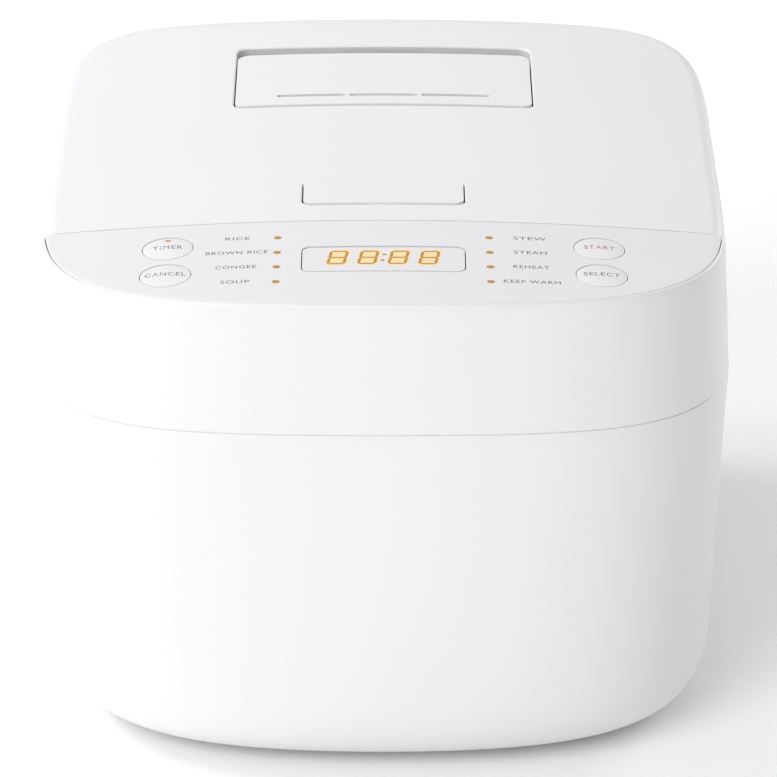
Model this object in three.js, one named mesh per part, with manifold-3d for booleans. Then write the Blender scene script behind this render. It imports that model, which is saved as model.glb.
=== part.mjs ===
// Rice cooker with a hinged lid, 3 L class. Millimetres, +Z up, front towards -Y.
// The origin is at the middle of the bottom of the whole object's box.
import * as THREE from "three";
import { mergeVertices } from "three/addons/utils/BufferGeometryUtils.js";
import Module from "manifold-3d";

const wasm = await Module();
wasm.setup();

// Housing outline: half-width and reaches at its widest level.
const halfWidth = 134.5;
const frontReach = 143.2;
const rearReach = 155.4;
const frontSquareness = 4.8;
const rearSquareness = 6.5;
const frontBow = 0.14;
// Levels of the housing, from the surface that the cooker stands on.
const footHeight = 3;
const seamLevel = 151.6;
const partingLevel = 167.5;
const wideLevel = 146.5;
const crownLevel = 203.5;
const crownRadius = 1363;
const crownStart = 176;
const seamCrownStart = 100;
// How the sides lean in above and below the widest level, and the rounding at the bottom.
const topTaper = 2.8;
const bottomTaper = 5.4;
const bottomRoundWidth = 28.8;
const bottomRoundHeight = 30.7;
const bottomRoundPower = 2.6;
// Walls and clearances.
const shellWall = 2.5;
const upperWall = 3.1;
const fitGap = 0.3;
const seamGap = 0.6;
const lidStep = 0.6;
const topEdgeRadius = 5.4;
// Control panel.
const panelDepth = 76.7;
const panelBead = 0.9;
const panelRebate = 1;
const panelThickness = 2.2;
const buttonRadius = 9.5;
const buttonX = 81.5;
const buttonRows = [31.2, 55.7];
const buttonHeight = 3.2;
const buttonTravel = 0.8;
const lightRadius = 1.5;
const lightX = 40;
const lightRows = [61.6, 48, 34.9, 21.6];
const lightLength = 9;
const timerLightRow = 62;
const timerLightRadius = 1.2;
const windowSize = [61.4, 22.3];
const windowRow = 41.35;
const windowCorner = 3.6;
const boardDrop = 14;
const boardThickness = 1.6;
const boardHalf = 94;
const boardRows = [23, 70];
const switchHalf = 3;
const switchHeight = 3;
const displaySize = [54, 18];
// Pot, heating plate and shield.
const potRow = 186.8;
const potBore = 90;
const potWall = 2;
const potDepth = 119;
const potFloorRound = 24;
const flangeWidth = 7;
const flangeThickness = 1.5;
const flangeDrop = 0.8;
const deckDrop = 2.6;
const deckThickness = 3;
const shieldGap = 3.5;
const shieldWall = 1;
const plateRadius = 74;
const plateThickness = 13;
const sensorRadius = 13;
const sensorHeight = 8;
const springSeatDrop = 10;
const springRadius = 7;
const springWire = 0.7;
const seatWall = 2;
const seatRadius = 17;
const shieldHole = 20;
// Lid.
const framePlate = 2.2;
const frameRise = 2.8;
const gasketWidth = 7;
const gasketHeight = 3;
const innerPlateThickness = 1.2;
const lidSensorX = -38;
const lidSensorRadius = 6;
const lidAngleClear = 0.8;
// Lid release and latch.
const releaseWidth = 62;
const releaseRows = [92.6, 112.5];
const releaseCorner = 4;
const releaseGap = 0.4;
const hookWidth = 12;
const hookPivotRow = 99.4;
const hookPivotLevel = 180;
const hookPinRadius = 1.5;
const ribReach = 5;
const ribThickness = 3;
// Steam vent cap.
const ventWidth = 120.6;
const ventRows = [191, 255];
const ventCapDepth = 55.5;
const ventFrontCorner = 4;
const ventRecessDepth = 12;
const ventFloor = 2;
const slitRow = 202;
const slitWidth = 1.9;
const slitLength = 27.6;
const slitSpacing = 29.1;
const tubeRow = 217.4;
const tubeRadius = 9;
// Hinge at the top of the rear wall.
const barrelRadius = 7;
const lidBarrelHalf = 28.2;
const bracketOuter = 60;
const shaftRadius = 2.5;
const hingeWebDepth = 8.5;
const hingeWebDrop = 11;
const hingeWebThickness = 2.5;
const barrelWall = 1.7;
const bracketEnd = 2.5;
const barrelCheek = 6;
const hingeSpringClear = 0.55;
const hingeSpringTurns = 6;
const hingeLevel = partingLevel + 0.25;
// Base.
const openingHalf = 88;
const coverThickness = 3.5;
const screwInset = 4.5;
const footRadius = 9;
const footPlaces = [0.66, 0.62];
const footStem = 3;
const screwHead = 3.5;
const screwShank = 1.5;
const tabWidth = 12;
const tabThickness = 5;
// Power inlet on the rear wall.
const inletX = 70;
const inletLevel = 52;
const inletSocket = [24, 16.5, 17];
const inletWall = 1.8;
const inletFlange = [34, 26.5, 1.6];
const inletSeatDepth = 1;
const pinSize = [2, 4, 12];
const pinPlaces = [[-7, -2], [0, 2.5], [7, -2]];
// Power board, standing behind the front wall.
const powerBoardRow = 38;
const powerBoardHalf = 55;
const powerBoardLevels = [60, 128];

const segments = 56;
const cornerCrowding = 0.7;

const finishes = {
  shell: new THREE.MeshStandardMaterial({ color: 0xf0f0f2, roughness: 0.35, metalness: 0 }),
  panel: new THREE.MeshStandardMaterial({ color: 0xe8e8ea, roughness: 0.4, metalness: 0 }),
  key: new THREE.MeshStandardMaterial({ color: 0xececee, roughness: 0.4, metalness: 0 }),
  lamp: new THREE.MeshStandardMaterial({ color: 0xf5a623, roughness: 0.3, metalness: 0 }),
  dark: new THREE.MeshStandardMaterial({ color: 0x2b2b2d, roughness: 0.5, metalness: 0 }),
  board: new THREE.MeshStandardMaterial({ color: 0x2f6b45, roughness: 0.6, metalness: 0 }),
  steel: new THREE.MeshStandardMaterial({ color: 0xb9bcc0, roughness: 0.35, metalness: 1 }),
  aluminium: new THREE.MeshStandardMaterial({ color: 0xc9cbcd, roughness: 0.4, metalness: 1 }),
  coating: new THREE.MeshStandardMaterial({ color: 0x3c3c3f, roughness: 0.45, metalness: 0 }),
  rubber: new THREE.MeshStandardMaterial({ color: 0xc6c6c8, roughness: 0.7, metalness: 0 }),
};

const cooker = new THREE.Group();

// ---- Turning geometries into solids and back -----------------------------------------------

function toSolid(geometry) {
  const bare = geometry.clone();
  bare.deleteAttribute("normal");
  bare.deleteAttribute("uv");
  const merged = mergeVertices(bare, 1e-3);
  const index = merged.index.array;
  const kept = [];
  for (let i = 0; i < index.length; i += 3) {
    const [a, b, c] = [index[i], index[i + 1], index[i + 2]];
    if (a !== b && b !== c && c !== a) {
      kept.push(a, b, c);
    }
  }
  const vertProperties = new Float32Array(merged.attributes.position.array);
  return new wasm.Manifold(new wasm.Mesh({ numProp: 3, vertProperties, triVerts: new Uint32Array(kept) }));
}

function toGeometry(solid) {
  const mesh = solid.getMesh();
  const geometry = new THREE.BufferGeometry();
  geometry.setAttribute("position", new THREE.BufferAttribute(new Float32Array(mesh.vertProperties), 3));
  geometry.setIndex(new THREE.BufferAttribute(new Uint32Array(mesh.triVerts), 1));
  geometry.computeVertexNormals();
  return geometry;
}

function addPiece(name, solid, finish) {
  const mesh = new THREE.Mesh(toGeometry(solid), finishes[finish]);
  mesh.name = name;
  cooker.add(mesh);
}

// ---- Plain solids --------------------------------------------------------------------------

function box(low, high) {
  const size = high.map((value, i) => value - low[i]);
  const geometry = new THREE.BoxGeometry(...size);
  geometry.translate(...high.map((value, i) => (value + low[i]) / 2));
  return toSolid(geometry);
}

function turned(points, sides, place = [0, 0, 0]) {
  const geometry = new THREE.LatheGeometry(points.map(([r, z]) => new THREE.Vector2(r, z)), sides);
  geometry.rotateX(Math.PI / 2);
  geometry.translate(...place);
  return toSolid(geometry);
}

function disc(radius, low, high, place, sides = 32) {
  return turned([[0, low], [radius, low], [radius, high], [0, high]], sides, [place[0], place[1], 0]);
}

function ring(inner, outer, low, high, place, sides = 48) {
  const points = [[inner, low], [outer, low], [outer, high], [inner, high], [inner, low]];
  return turned(points, sides, [place[0], place[1], 0]);
}

// A solid of revolution about an axis along X through (y, z).
function turnedAlongX(points, sides, y, z) {
  const geometry = new THREE.LatheGeometry(points.map(([r, x]) => new THREE.Vector2(r, x)), sides);
  geometry.rotateZ(-Math.PI / 2);
  geometry.translate(0, y, z);
  return toSolid(geometry);
}

function rodAlongX(radius, from, to, y, z, sides = 24) {
  return turnedAlongX([[0, from], [radius, from], [radius, to], [0, to]], sides, y, z);
}

// A rounded rectangle in plan, standing from low to high.
function roundedBlock(width, front, rear, corner, low, high) {
  const half = width / 2;
  const shape = new THREE.Shape();
  shape.moveTo(half, front + corner);
  shape.lineTo(half, rear - corner);
  shape.absarc(half - corner, rear - corner, corner, 0, Math.PI / 2, false);
  shape.absarc(corner - half, rear - corner, corner, Math.PI / 2, Math.PI, false);
  shape.absarc(corner - half, front + corner, corner, Math.PI, 1.5 * Math.PI, false);
  shape.absarc(half - corner, front + corner, corner, 1.5 * Math.PI, 2 * Math.PI, false);
  const settings = { depth: high - low, bevelEnabled: false, curveSegments: 5 };
  const geometry = new THREE.ExtrudeGeometry(shape, settings);
  geometry.translate(0, 0, low);
  return toSolid(geometry);
}

// ---- The housing's own form ----------------------------------------------------------------

const reachRatio = { front: frontReach / halfWidth, rear: rearReach / halfWidth };
const taperAbove = topTaper / (crownLevel - wideLevel);

function halfWidthAt(z) {
  if (z >= wideLevel) {
    return halfWidth - taperAbove * (z - wideLevel);
  }
  const lean = bottomTaper * (wideLevel - z) / (wideLevel - footHeight);
  const below = Math.min(Math.max(1 - (z - footHeight) / bottomRoundHeight, 0), 1);
  const rounding = bottomRoundWidth * (1 - (1 - below ** bottomRoundPower) ** (1 / bottomRoundPower));
  return halfWidth - lean - rounding;
}

const rearWallAtHinge = halfWidthAt(hingeLevel) * reachRatio.rear;
const sectionY = (frontReach - rearWallAtHinge - barrelRadius) / 2;
const hingeY = sectionY + rearWallAtHinge;
const panelFrontY = sectionY - (halfWidthAt(crownLevel) - panelBead) * reachRatio.front;
const behindPanelFront = (distance) => panelFrontY + distance;
const seamY = behindPanelFront(panelDepth);
const potY = behindPanelFront(potRow);

function signedPower(value, power) {
  return Math.abs(value) < 1e-9 ? 0 : Math.sign(value) * Math.abs(value) ** power;
}

// A point of the outline at a half-width r, for an angle measured from +X.
function outlinePoint(r, angle) {
  const front = Math.sin(angle) < 0;
  const square = front ? frontSquareness : rearSquareness;
  const dx = signedPower(Math.cos(angle), cornerCrowding);
  const dy = signedPower(Math.sin(angle), cornerCrowding);
  const reach = (Math.abs(dx) ** square + Math.abs(dy) ** square) ** (-1 / square);
  const [across, along] = [dx * reach, dy * reach];
  const bow = front ? 1 - frontBow * across * across : 1;
  return [r * across, sectionY + r * along * bow * (front ? reachRatio.front : reachRatio.rear)];
}

// How much of the crown's fall each level takes: the lid's does near the top, the lower shell's
// does near its seam, and the upper shell takes it all.
const shareBetween = (low, high) => (z) => Math.max((z - low) / (high - low), 0);
const topShare = shareBetween(crownStart, crownLevel);

// Revolves a profile of (half-width, level) and bends each ring to the outline and the crown.
function outlined(profile, crownShare = topShare) {
  const points = profile.map(([r, z]) => new THREE.Vector2(r, z));
  const geometry = new THREE.LatheGeometry(points, segments, Math.PI / 2);
  geometry.rotateX(Math.PI / 2);
  const position = geometry.attributes.position;
  for (let i = 0; i < position.count; i += 1) {
    const [x, y, z] = [position.getX(i), position.getY(i), position.getZ(i)];
    const [px, py] = outlinePoint(Math.hypot(x, y), Math.atan2(y, x));
    position.setXYZ(i, px, py, z - crownShare(z) * px * px / (2 * crownRadius));
  }
  return toSolid(geometry);
}

function levelsBetween(low, high) {
  const levels = [low];
  for (let i = 1; i <= 6; i += 1) {
    levels.push(footHeight + bottomRoundHeight * (1 - Math.cos(i * Math.PI / 12)));
  }
  levels.push(wideLevel, high);
  return levels.filter((z) => z >= low && z <= high).sort((a, b) => a - b)
    .filter((z, i, all) => i === 0 || z - all[i - 1] > 1);
}

function wallProfile(low, high, inset) {
  return levelsBetween(low, high).map((z) => [halfWidthAt(z) - inset, z]);
}

// A solid block of the housing's form from low up to the crown, inset and lowered.
function crownedBlock(low, inset, drop, edge) {
  const high = crownLevel - drop;
  const profile = [[0, low], ...wallProfile(low, high - edge, inset)];
  const rim = halfWidthAt(high - edge) - inset;
  for (let i = 1; i <= 3; i += 1) {
    const turn = i * Math.PI / 6;
    profile.push([rim - edge * (1 - Math.cos(turn)), high - edge * (1 - Math.sin(turn))]);
  }
  for (const share of [0.6, 0.3, 0]) {
    profile.push([(rim - edge) * share, high]);
  }
  return outlined(profile);
}

function crownedPlate(inset, drop, thickness) {
  const rim = halfWidthAt(crownLevel) - inset;
  const shares = [0, 0.35, 0.7, 1];
  const profile = shares.map((share) => [rim * share, crownLevel - drop - thickness]);
  profile.push(...shares.reverse().map((share) => [rim * share, crownLevel - drop]));
  return outlined(profile);
}

const far = 400;
const inFrontOf = (y) => box([-far, -far, -far], [far, y, far]);
const behind = (y) => box([-far, y, -far], [far, far, far]);
const roundHinge = (radius, from, to) => rodAlongX(radius, from, to, hingeY, hingeLevel, 28);

// ---- Body shells ---------------------------------------------------------------------------

const screwAngles = [0, Math.PI / 2, Math.PI, 1.5 * Math.PI];
const screwPlaces = screwAngles.map((angle) => outlinePoint(openingHalf - screwInset, angle));
const inletWallY = sectionY + halfWidthAt(inletLevel) * reachRatio.rear;
const inletSeatY = inletWallY - inletSeatDepth;
const inletBody = inletSocket.map((size, i) => size + (i < 2 ? 2 : 1) * inletWall);

// A tab that reaches in over the base cover from the bottom rim, to take a screw.
const tabLow = footHeight + coverThickness + fitGap;

function screwTab(place, angle) {
  const half = tabWidth / 2;
  const edge = outlinePoint(openingHalf + fitGap, angle);
  const post = Math.hypot(edge[0] - place[0], edge[1] - place[1]) + 0.2;
  const tabReach = post + 4;
  const shape = new THREE.Shape();
  shape.moveTo(-post, tabLow);
  shape.lineTo(post, tabLow);
  shape.lineTo(post, footHeight + 1);
  shape.lineTo(tabReach, footHeight + 1);
  shape.lineTo(tabReach, tabLow + tabThickness);
  shape.lineTo(-post, tabLow + tabThickness);
  const geometry = new THREE.ExtrudeGeometry(shape, { depth: tabWidth, bevelEnabled: false });
  geometry.rotateX(Math.PI / 2);
  geometry.translate(0, half, 0);
  geometry.rotateZ(angle);
  geometry.translate(place[0], place[1], 0);
  return toSolid(geometry);
}

function makeLowerHousing() {
  const outer = wallProfile(footHeight, seamLevel - fitGap / 2, 0);
  const inner = wallProfile(footHeight + shellWall, seamLevel - fitGap / 2, shellWall).reverse();
  const opening = openingHalf + fitGap;
  const ringTop = footHeight + shellWall;
  const loop = [[opening, footHeight], ...outer, ...inner, [opening, ringTop], [opening, footHeight]];
  let solid = outlined(loop, shareBetween(seamCrownStart, seamLevel));
  for (const [i, place] of screwPlaces.entries()) {
    solid = solid.add(screwTab(place, screwAngles[i])).subtract(disc(screwShank + fitGap, 0, far, place, 10));
  }
  const halfHole = inletBody.map((size) => size / 2 + fitGap);
  const holeLow = [inletX - halfHole[0], inletWallY - 20, inletLevel - halfHole[1]];
  solid = solid.subtract(box(holeLow, [inletX + halfHole[0], far, inletLevel + halfHole[1]]));
  const halfFlange = inletFlange.map((size) => size / 2 + fitGap);
  const seat = [inletX - halfFlange[0], inletSeatY, inletLevel - halfFlange[1]];
  solid = solid.subtract(box(seat, [inletX + halfFlange[0], far, inletLevel + halfFlange[1]]));
  addPiece("lower_housing", solid, "shell");
}

function makeUpperHousing() {
  const low = seamLevel + fitGap / 2;
  const ledge = crownLevel - panelThickness - fitGap;
  const rim = halfWidthAt(crownLevel);
  const loop = [[halfWidthAt(low) - upperWall, low], [halfWidthAt(low), low]];
  loop.push([halfWidthAt(partingLevel), partingLevel], [halfWidthAt(crownLevel - 0.8), crownLevel - 0.8]);
  loop.push([rim - 0.8, crownLevel], [rim - panelRebate + 0.2, crownLevel], [rim - panelRebate, ledge]);
  loop.push([rim - upperWall, ledge], [halfWidthAt(partingLevel) - upperWall, partingLevel]);
  loop.push(loop[0]);
  let solid = outlined(loop, () => 1);
  solid = solid.subtract(box([-far, seamY - seamGap / 2, partingLevel], [far, far, far]));
  const notchLow = hingeLevel - hingeWebDrop - 2 * fitGap;
  for (const side of [-1, 1]) {
    const inside = side * (lidBarrelHalf + fitGap);
    const outside = side * (bracketOuter + fitGap);
    const low3 = [Math.min(inside, outside), hingeY - 2 * barrelRadius - 1, notchLow];
    solid = solid.subtract(box(low3, [Math.max(inside, outside), far, far]));
  }
  const clear = barrelRadius + lidAngleClear;
  solid = solid.subtract(roundHinge(clear, -lidBarrelHalf - 2, lidBarrelHalf + 2));
  addPiece("upper_housing", solid, "shell");
}

const deckTop = partingLevel - deckDrop;
const deckBottom = deckTop - deckThickness;
const wallClear = upperWall + 2.5 * fitGap;
const flangeRadius = potBore + flangeWidth;
const potOuter = potBore + potWall;

function makeRimFrame() {
  const rim = halfWidthAt(deckTop) - wallClear;
  let solid = outlined([[0, deckBottom], [rim, deckBottom], [rim, deckTop], [0, deckTop]]);
  const riserFront = seamY - seamGap / 2 - fitGap - 2;
  solid = solid.subtract(inFrontOf(riserFront));
  const riser = crownedBlock(deckBottom, wallClear, panelThickness + fitGap, 0.5)
    .intersect(box([-far, riserFront, deckBottom], [far, riserFront + 2, far]));
  solid = solid.add(riser);
  solid = solid.subtract(disc(potOuter + 1.5, 0, far, [0, potY], 44));
  const slotHalf = hookWidth / 2 + 0.8;
  solid = solid.subtract(box([-slotHalf, hookY.front - 2.2, 0], [slotHalf, hookY.rear + 4, far]));
  for (const side of [-1, 1]) {
    const ends = [side * (lidBarrelHalf + fitGap), side * (bracketOuter + fitGap)].sort((a, b) => a - b);
    solid = solid.subtract(box([ends[0], hingeY - hingeWebDepth - fitGap, 0], [ends[1], far, far]));
  }
  const clear = barrelRadius + lidAngleClear;
  solid = solid.subtract(roundHinge(clear, -lidBarrelHalf - 2, lidBarrelHalf + 2));
  addPiece("rim_frame", solid, "shell");
}

function makeBaseCover() {
  const top = footHeight + coverThickness;
  let solid = outlined([[0, footHeight], [openingHalf, footHeight], [openingHalf, top], [0, top]]);
  for (const [x, y] of screwPlaces) {
    solid = solid.subtract(disc(screwShank + 2 * fitGap, 0, far, [x, y], 12))
      .subtract(disc(screwHead + fitGap, 0, footHeight + 2, [x, y], 14));
  }
  for (const [x, y] of footCentres) {
    solid = solid.subtract(disc(footStem + fitGap, 0, far, [x, y], 16));
  }
  for (const side of [-1, 1]) {
    for (let i = -2; i <= 2; i += 1) {
      const x = i * 10;
      const y = sectionY + side * 46;
      solid = solid.subtract(box([x - 1.6, y - 14, 0], [x + 1.6, y + 14, far]));
    }
  }
  addPiece("base_cover", solid, "shell");
}

const footCentres = [];
for (const sx of [-1, 1]) {
  for (const sy of [-1, 1]) {
    footCentres.push([sx * footPlaces[0] * openingHalf, sectionY + sy * footPlaces[1] * openingHalf]);
  }
}

function makeFeetAndScrews() {
  const standTop = footHeight - fitGap;
  const stemTop = footHeight + coverThickness + 1;
  for (const [i, place] of footCentres.entries()) {
    const profile = [[0, 0], [footRadius - 1, 0], [footRadius, 1], [footRadius, standTop]];
    profile.push([footStem, standTop], [footStem, stemTop], [0, stemTop]);
    addPiece(`foot_${i + 1}`, turned(profile, 16, [place[0], place[1], 0]), "rubber");
  }
  for (const [i, place] of screwPlaces.entries()) {
    const head = disc(screwHead, footHeight + 0.2, footHeight + 1.7, place, 12);
    const shank = disc(screwShank, footHeight + 1, tabLow + tabThickness - fitGap, place, 8);
    addPiece(`base_screw_${i + 1}`, head.add(shank), "steel");
  }
}

// ---- Control panel -------------------------------------------------------------------------

const panelInset = panelRebate + fitGap;
const buttons = [
  ["timer", -buttonX, buttonRows[1]],
  ["cancel", -buttonX, buttonRows[0]],
  ["start", buttonX, buttonRows[1]],
  ["select", buttonX, buttonRows[0]],
];
const lights = [];
for (const side of [-1, 1]) {
  for (const row of lightRows) {
    lights.push([side * lightX, behindPanelFront(row)]);
  }
}

function makeControlPanel() {
  let solid = crownedPlate(panelInset, 0, panelThickness).intersect(inFrontOf(seamY - seamGap / 2));
  for (const [, x, row] of buttons) {
    solid = solid.subtract(disc(buttonRadius + fitGap, 0, far, [x, behindPanelFront(row)], 28));
  }
  for (const place of lights) {
    solid = solid.subtract(disc(lightRadius + fitGap, 0, far, place, 12));
  }
  const half = windowSize[1] / 2 + fitGap;
  const y = behindPanelFront(windowRow);
  solid = solid.subtract(roundedBlock(windowSize[0] + 2 * fitGap, y - half, y + half, windowCorner, 0, far));
  addPiece("control_panel", solid, "panel");
}

function makeDisplay() {
  const y = behindPanelFront(windowRow);
  const half = windowSize[1] / 2;
  const pane = roundedBlock(windowSize[0], y - half, y + half, windowCorner - fitGap, 0, far)
    .intersect(crownedPlate(panelInset, 0, panelThickness));
  addPiece("display_window", pane, "panel");
  const boardTop = crownLevel - boardDrop;
  const top = crownLevel - panelThickness - 1;
  const [halfX, halfY] = displaySize.map((size) => size / 2);
  addPiece("display_module", box([-halfX, y - halfY, boardTop + fitGap], [halfX, y + halfY, top]), "dark");
  const [front, rear] = boardRows.map(behindPanelFront);
  let solid = box([-boardHalf, front, boardTop - boardThickness], [boardHalf, rear, boardTop]);
  for (const [, x, row] of buttons) {
    const place = behindPanelFront(row);
    const low = [x - switchHalf, place - switchHalf, boardTop - 0.5];
    solid = solid.add(box(low, [x + switchHalf, place + switchHalf, boardTop + switchHeight]));
  }
  addPiece("panel_board", solid, "board");
}

function makeLights() {
  for (const [i, place] of lights.entries()) {
    const guide = disc(lightRadius, crownLevel - lightLength, far, place, 12).intersect(flushBlock);
    addPiece(`indicator_light_${i + 1}`, guide, "lamp");
  }
}

const flushBlock = crownedBlock(deckTop, 0, 0, 0.4);

function makeButtons() {
  const stemLow = crownLevel - boardDrop + switchHeight + buttonTravel + 2 * fitGap;
  for (const [name, x, row] of buttons) {
    const place = [x, behindPanelFront(row)];
    const sag = x * x / (2 * crownRadius);
    let solid = disc(buttonRadius, crownLevel - sag - buttonHeight, far, place, 28).intersect(flushBlock);
    solid = solid.add(disc(switchHalf, stemLow, crownLevel - sag - 1.5, place, 12));
    if (name === "timer") {
      const lightPlace = [x, behindPanelFront(timerLightRow)];
      solid = solid.subtract(disc(timerLightRadius + fitGap, 0, far, lightPlace, 12));
      const low = crownLevel - sag - buttonHeight + 2 * fitGap;
      const guide = disc(timerLightRadius, low, far, lightPlace, 12).intersect(flushBlock);
      addPiece("timer_light", guide, "lamp");
    }
    addPiece(`${name}_button`, solid, "key");
  }
}

// ---- Pot, heater and electrics -------------------------------------------------------------

const flangeTop = partingLevel - flangeDrop;
const potFloor = flangeTop - potDepth;
const potBottom = potFloor - potWall;
const plateTop = potBottom - fitGap;
const plateBottom = plateTop - plateThickness;
const shieldInner = potOuter + shieldGap;
const shieldFloor = plateBottom - fitGap - shieldWall;

function roundCorner(radius, corner, floor) {
  const points = [];
  for (let i = 0; i <= 4; i += 1) {
    const turn = i * Math.PI / 8;
    points.push([radius - corner + corner * Math.sin(turn), floor + corner * (1 - Math.cos(turn))]);
  }
  return points;
}

function makePot() {
  const outer = roundCorner(potOuter, potFloorRound + potWall, potBottom);
  const inner = roundCorner(potBore, potFloorRound, potFloor).reverse();
  const under = flangeTop - flangeThickness;
  const profile = [[0, potBottom], ...outer, [potOuter, under], [flangeRadius, under]];
  profile.push([flangeRadius, flangeTop], [potBore + 1, flangeTop], [potBore, flangeTop - 1]);
  profile.push(...inner, [0, potFloor]);
  addPiece("inner_pot", turned(profile, 44, [0, potY, 0]), "coating");
}

function makeHeater() {
  const outer = shieldInner + shieldWall;
  const top = deckBottom - fitGap;
  const profile = [[shieldHole, shieldFloor], [outer, shieldFloor], [outer, top], [shieldInner, top]];
  profile.push([shieldInner, shieldFloor + shieldWall], [shieldHole, shieldFloor + shieldWall], profile[0]);
  addPiece("heat_shield", turned(profile, 40, [0, potY, 0]), "steel");
  const bore = sensorRadius + 1;
  addPiece("heating_plate", ring(bore, plateRadius, plateBottom, plateTop, [0, potY], 40), "aluminium");
  const capLow = plateTop - sensorHeight;
  const seatLow = shieldFloor - springSeatDrop;
  const cap = [[0, capLow], [sensorRadius, capLow], [sensorRadius, plateTop - 1]];
  cap.push([sensorRadius - 1, plateTop], [0, plateTop]);
  addPiece("thermostat_cap", turned(cap, 28, [0, potY, 0]), "aluminium");
  const springTop = capLow - fitGap;
  const spring = coil(springRadius, springWire, seatLow + seatWall + fitGap, springTop, 4, [0, potY]);
  addPiece("sensor_spring", spring, "steel");
  const seat = ring(3, seatRadius, seatLow, seatLow + seatWall, [0, potY], 20);
  const clip = [seatRadius - seatWall, seatRadius, seatLow + 1, shieldFloor - fitGap];
  addPiece("sensor_seat", seat.add(ring(...clip, [0, potY], 20)), "steel");
  const fuseLow = shieldFloor - 6;
  const fuse = box([35, potY - 12, fuseLow], [43, potY + 12, shieldFloor - fitGap]);
  addPiece("thermal_fuse", fuse, "aluminium");
}

// An open coil of round wire about a vertical axis.
function coil(radius, wire, low, high, turns, place) {
  const points = [];
  const steps = turns * 10;
  for (let i = 0; i <= steps; i += 1) {
    const turn = i * 2 * Math.PI / 10;
    const z = low + wire + (high - low - 2 * wire) * i / steps;
    points.push(new THREE.Vector3(place[0] + radius * Math.cos(turn), place[1] + radius * Math.sin(turn), z));
  }
  return sweptWire(points, wire, steps);
}

function sweptWire(points, wire, steps) {
  const section = new THREE.Shape();
  section.moveTo(wire, 0);
  for (let i = 1; i < 5; i += 1) {
    section.lineTo(wire * Math.cos(i * Math.PI * 0.4), wire * Math.sin(i * Math.PI * 0.4));
  }
  const path = new THREE.CatmullRomCurve3(points);
  const geometry = new THREE.ExtrudeGeometry(section, { steps, bevelEnabled: false, extrudePath: path });
  return toSolid(geometry);
}

function makeElectrics() {
  const y = behindPanelFront(powerBoardRow);
  const [low, high] = powerBoardLevels;
  let board = box([-powerBoardHalf, y, low], [powerBoardHalf, y + boardThickness, high]);
  board = board.add(box([-40, y - 16, low + 10], [-12, y + 0.5, low + 32]));
  board = board.add(box([8, y - 14, low + 6], [30, y + 0.5, low + 24]));
  for (const x of [-34, -20, 40]) {
    board = board.add(box([x - 5, y - 12, high - 24], [x + 5, y + 0.5, high - 10]));
  }
  addPiece("power_board", board, "board");
  const rear = inletSeatY + fitGap;
  const [width, height, depth] = inletBody;
  const outerFace = rear + inletFlange[2];
  const front = outerFace - depth;
  let socket = box([inletX - width / 2, front, inletLevel - height / 2],
    [inletX + width / 2, outerFace, inletLevel + height / 2]);
  socket = socket.add(box([inletX - inletFlange[0] / 2, rear, inletLevel - inletFlange[1] / 2],
    [inletX + inletFlange[0] / 2, outerFace, inletLevel + inletFlange[1] / 2]));
  const floor = front + inletWall;
  socket = socket.subtract(box([inletX - inletSocket[0] / 2, floor, inletLevel - inletSocket[1] / 2],
    [inletX + inletSocket[0] / 2, far, inletLevel + inletSocket[1] / 2]));
  for (const [i, [dx, dz]] of pinPlaces.entries()) {
    const [x, z] = [inletX + dx, inletLevel + dz];
    const near = [x - pinSize[0] / 2, front - 5, z - pinSize[1] / 2];
    const end = [x + pinSize[0] / 2, floor + pinSize[2] - inletWall, z + pinSize[1] / 2];
    socket = socket.subtract(box(near.map((v) => v - fitGap / 2), end.map((v) => v + fitGap / 2)));
    addPiece(`inlet_pin_${i + 1}`, box(near, end), "steel");
  }
  addPiece("power_inlet", socket, "dark");
}

// ---- Hinge ---------------------------------------------------------------------------------

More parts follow.
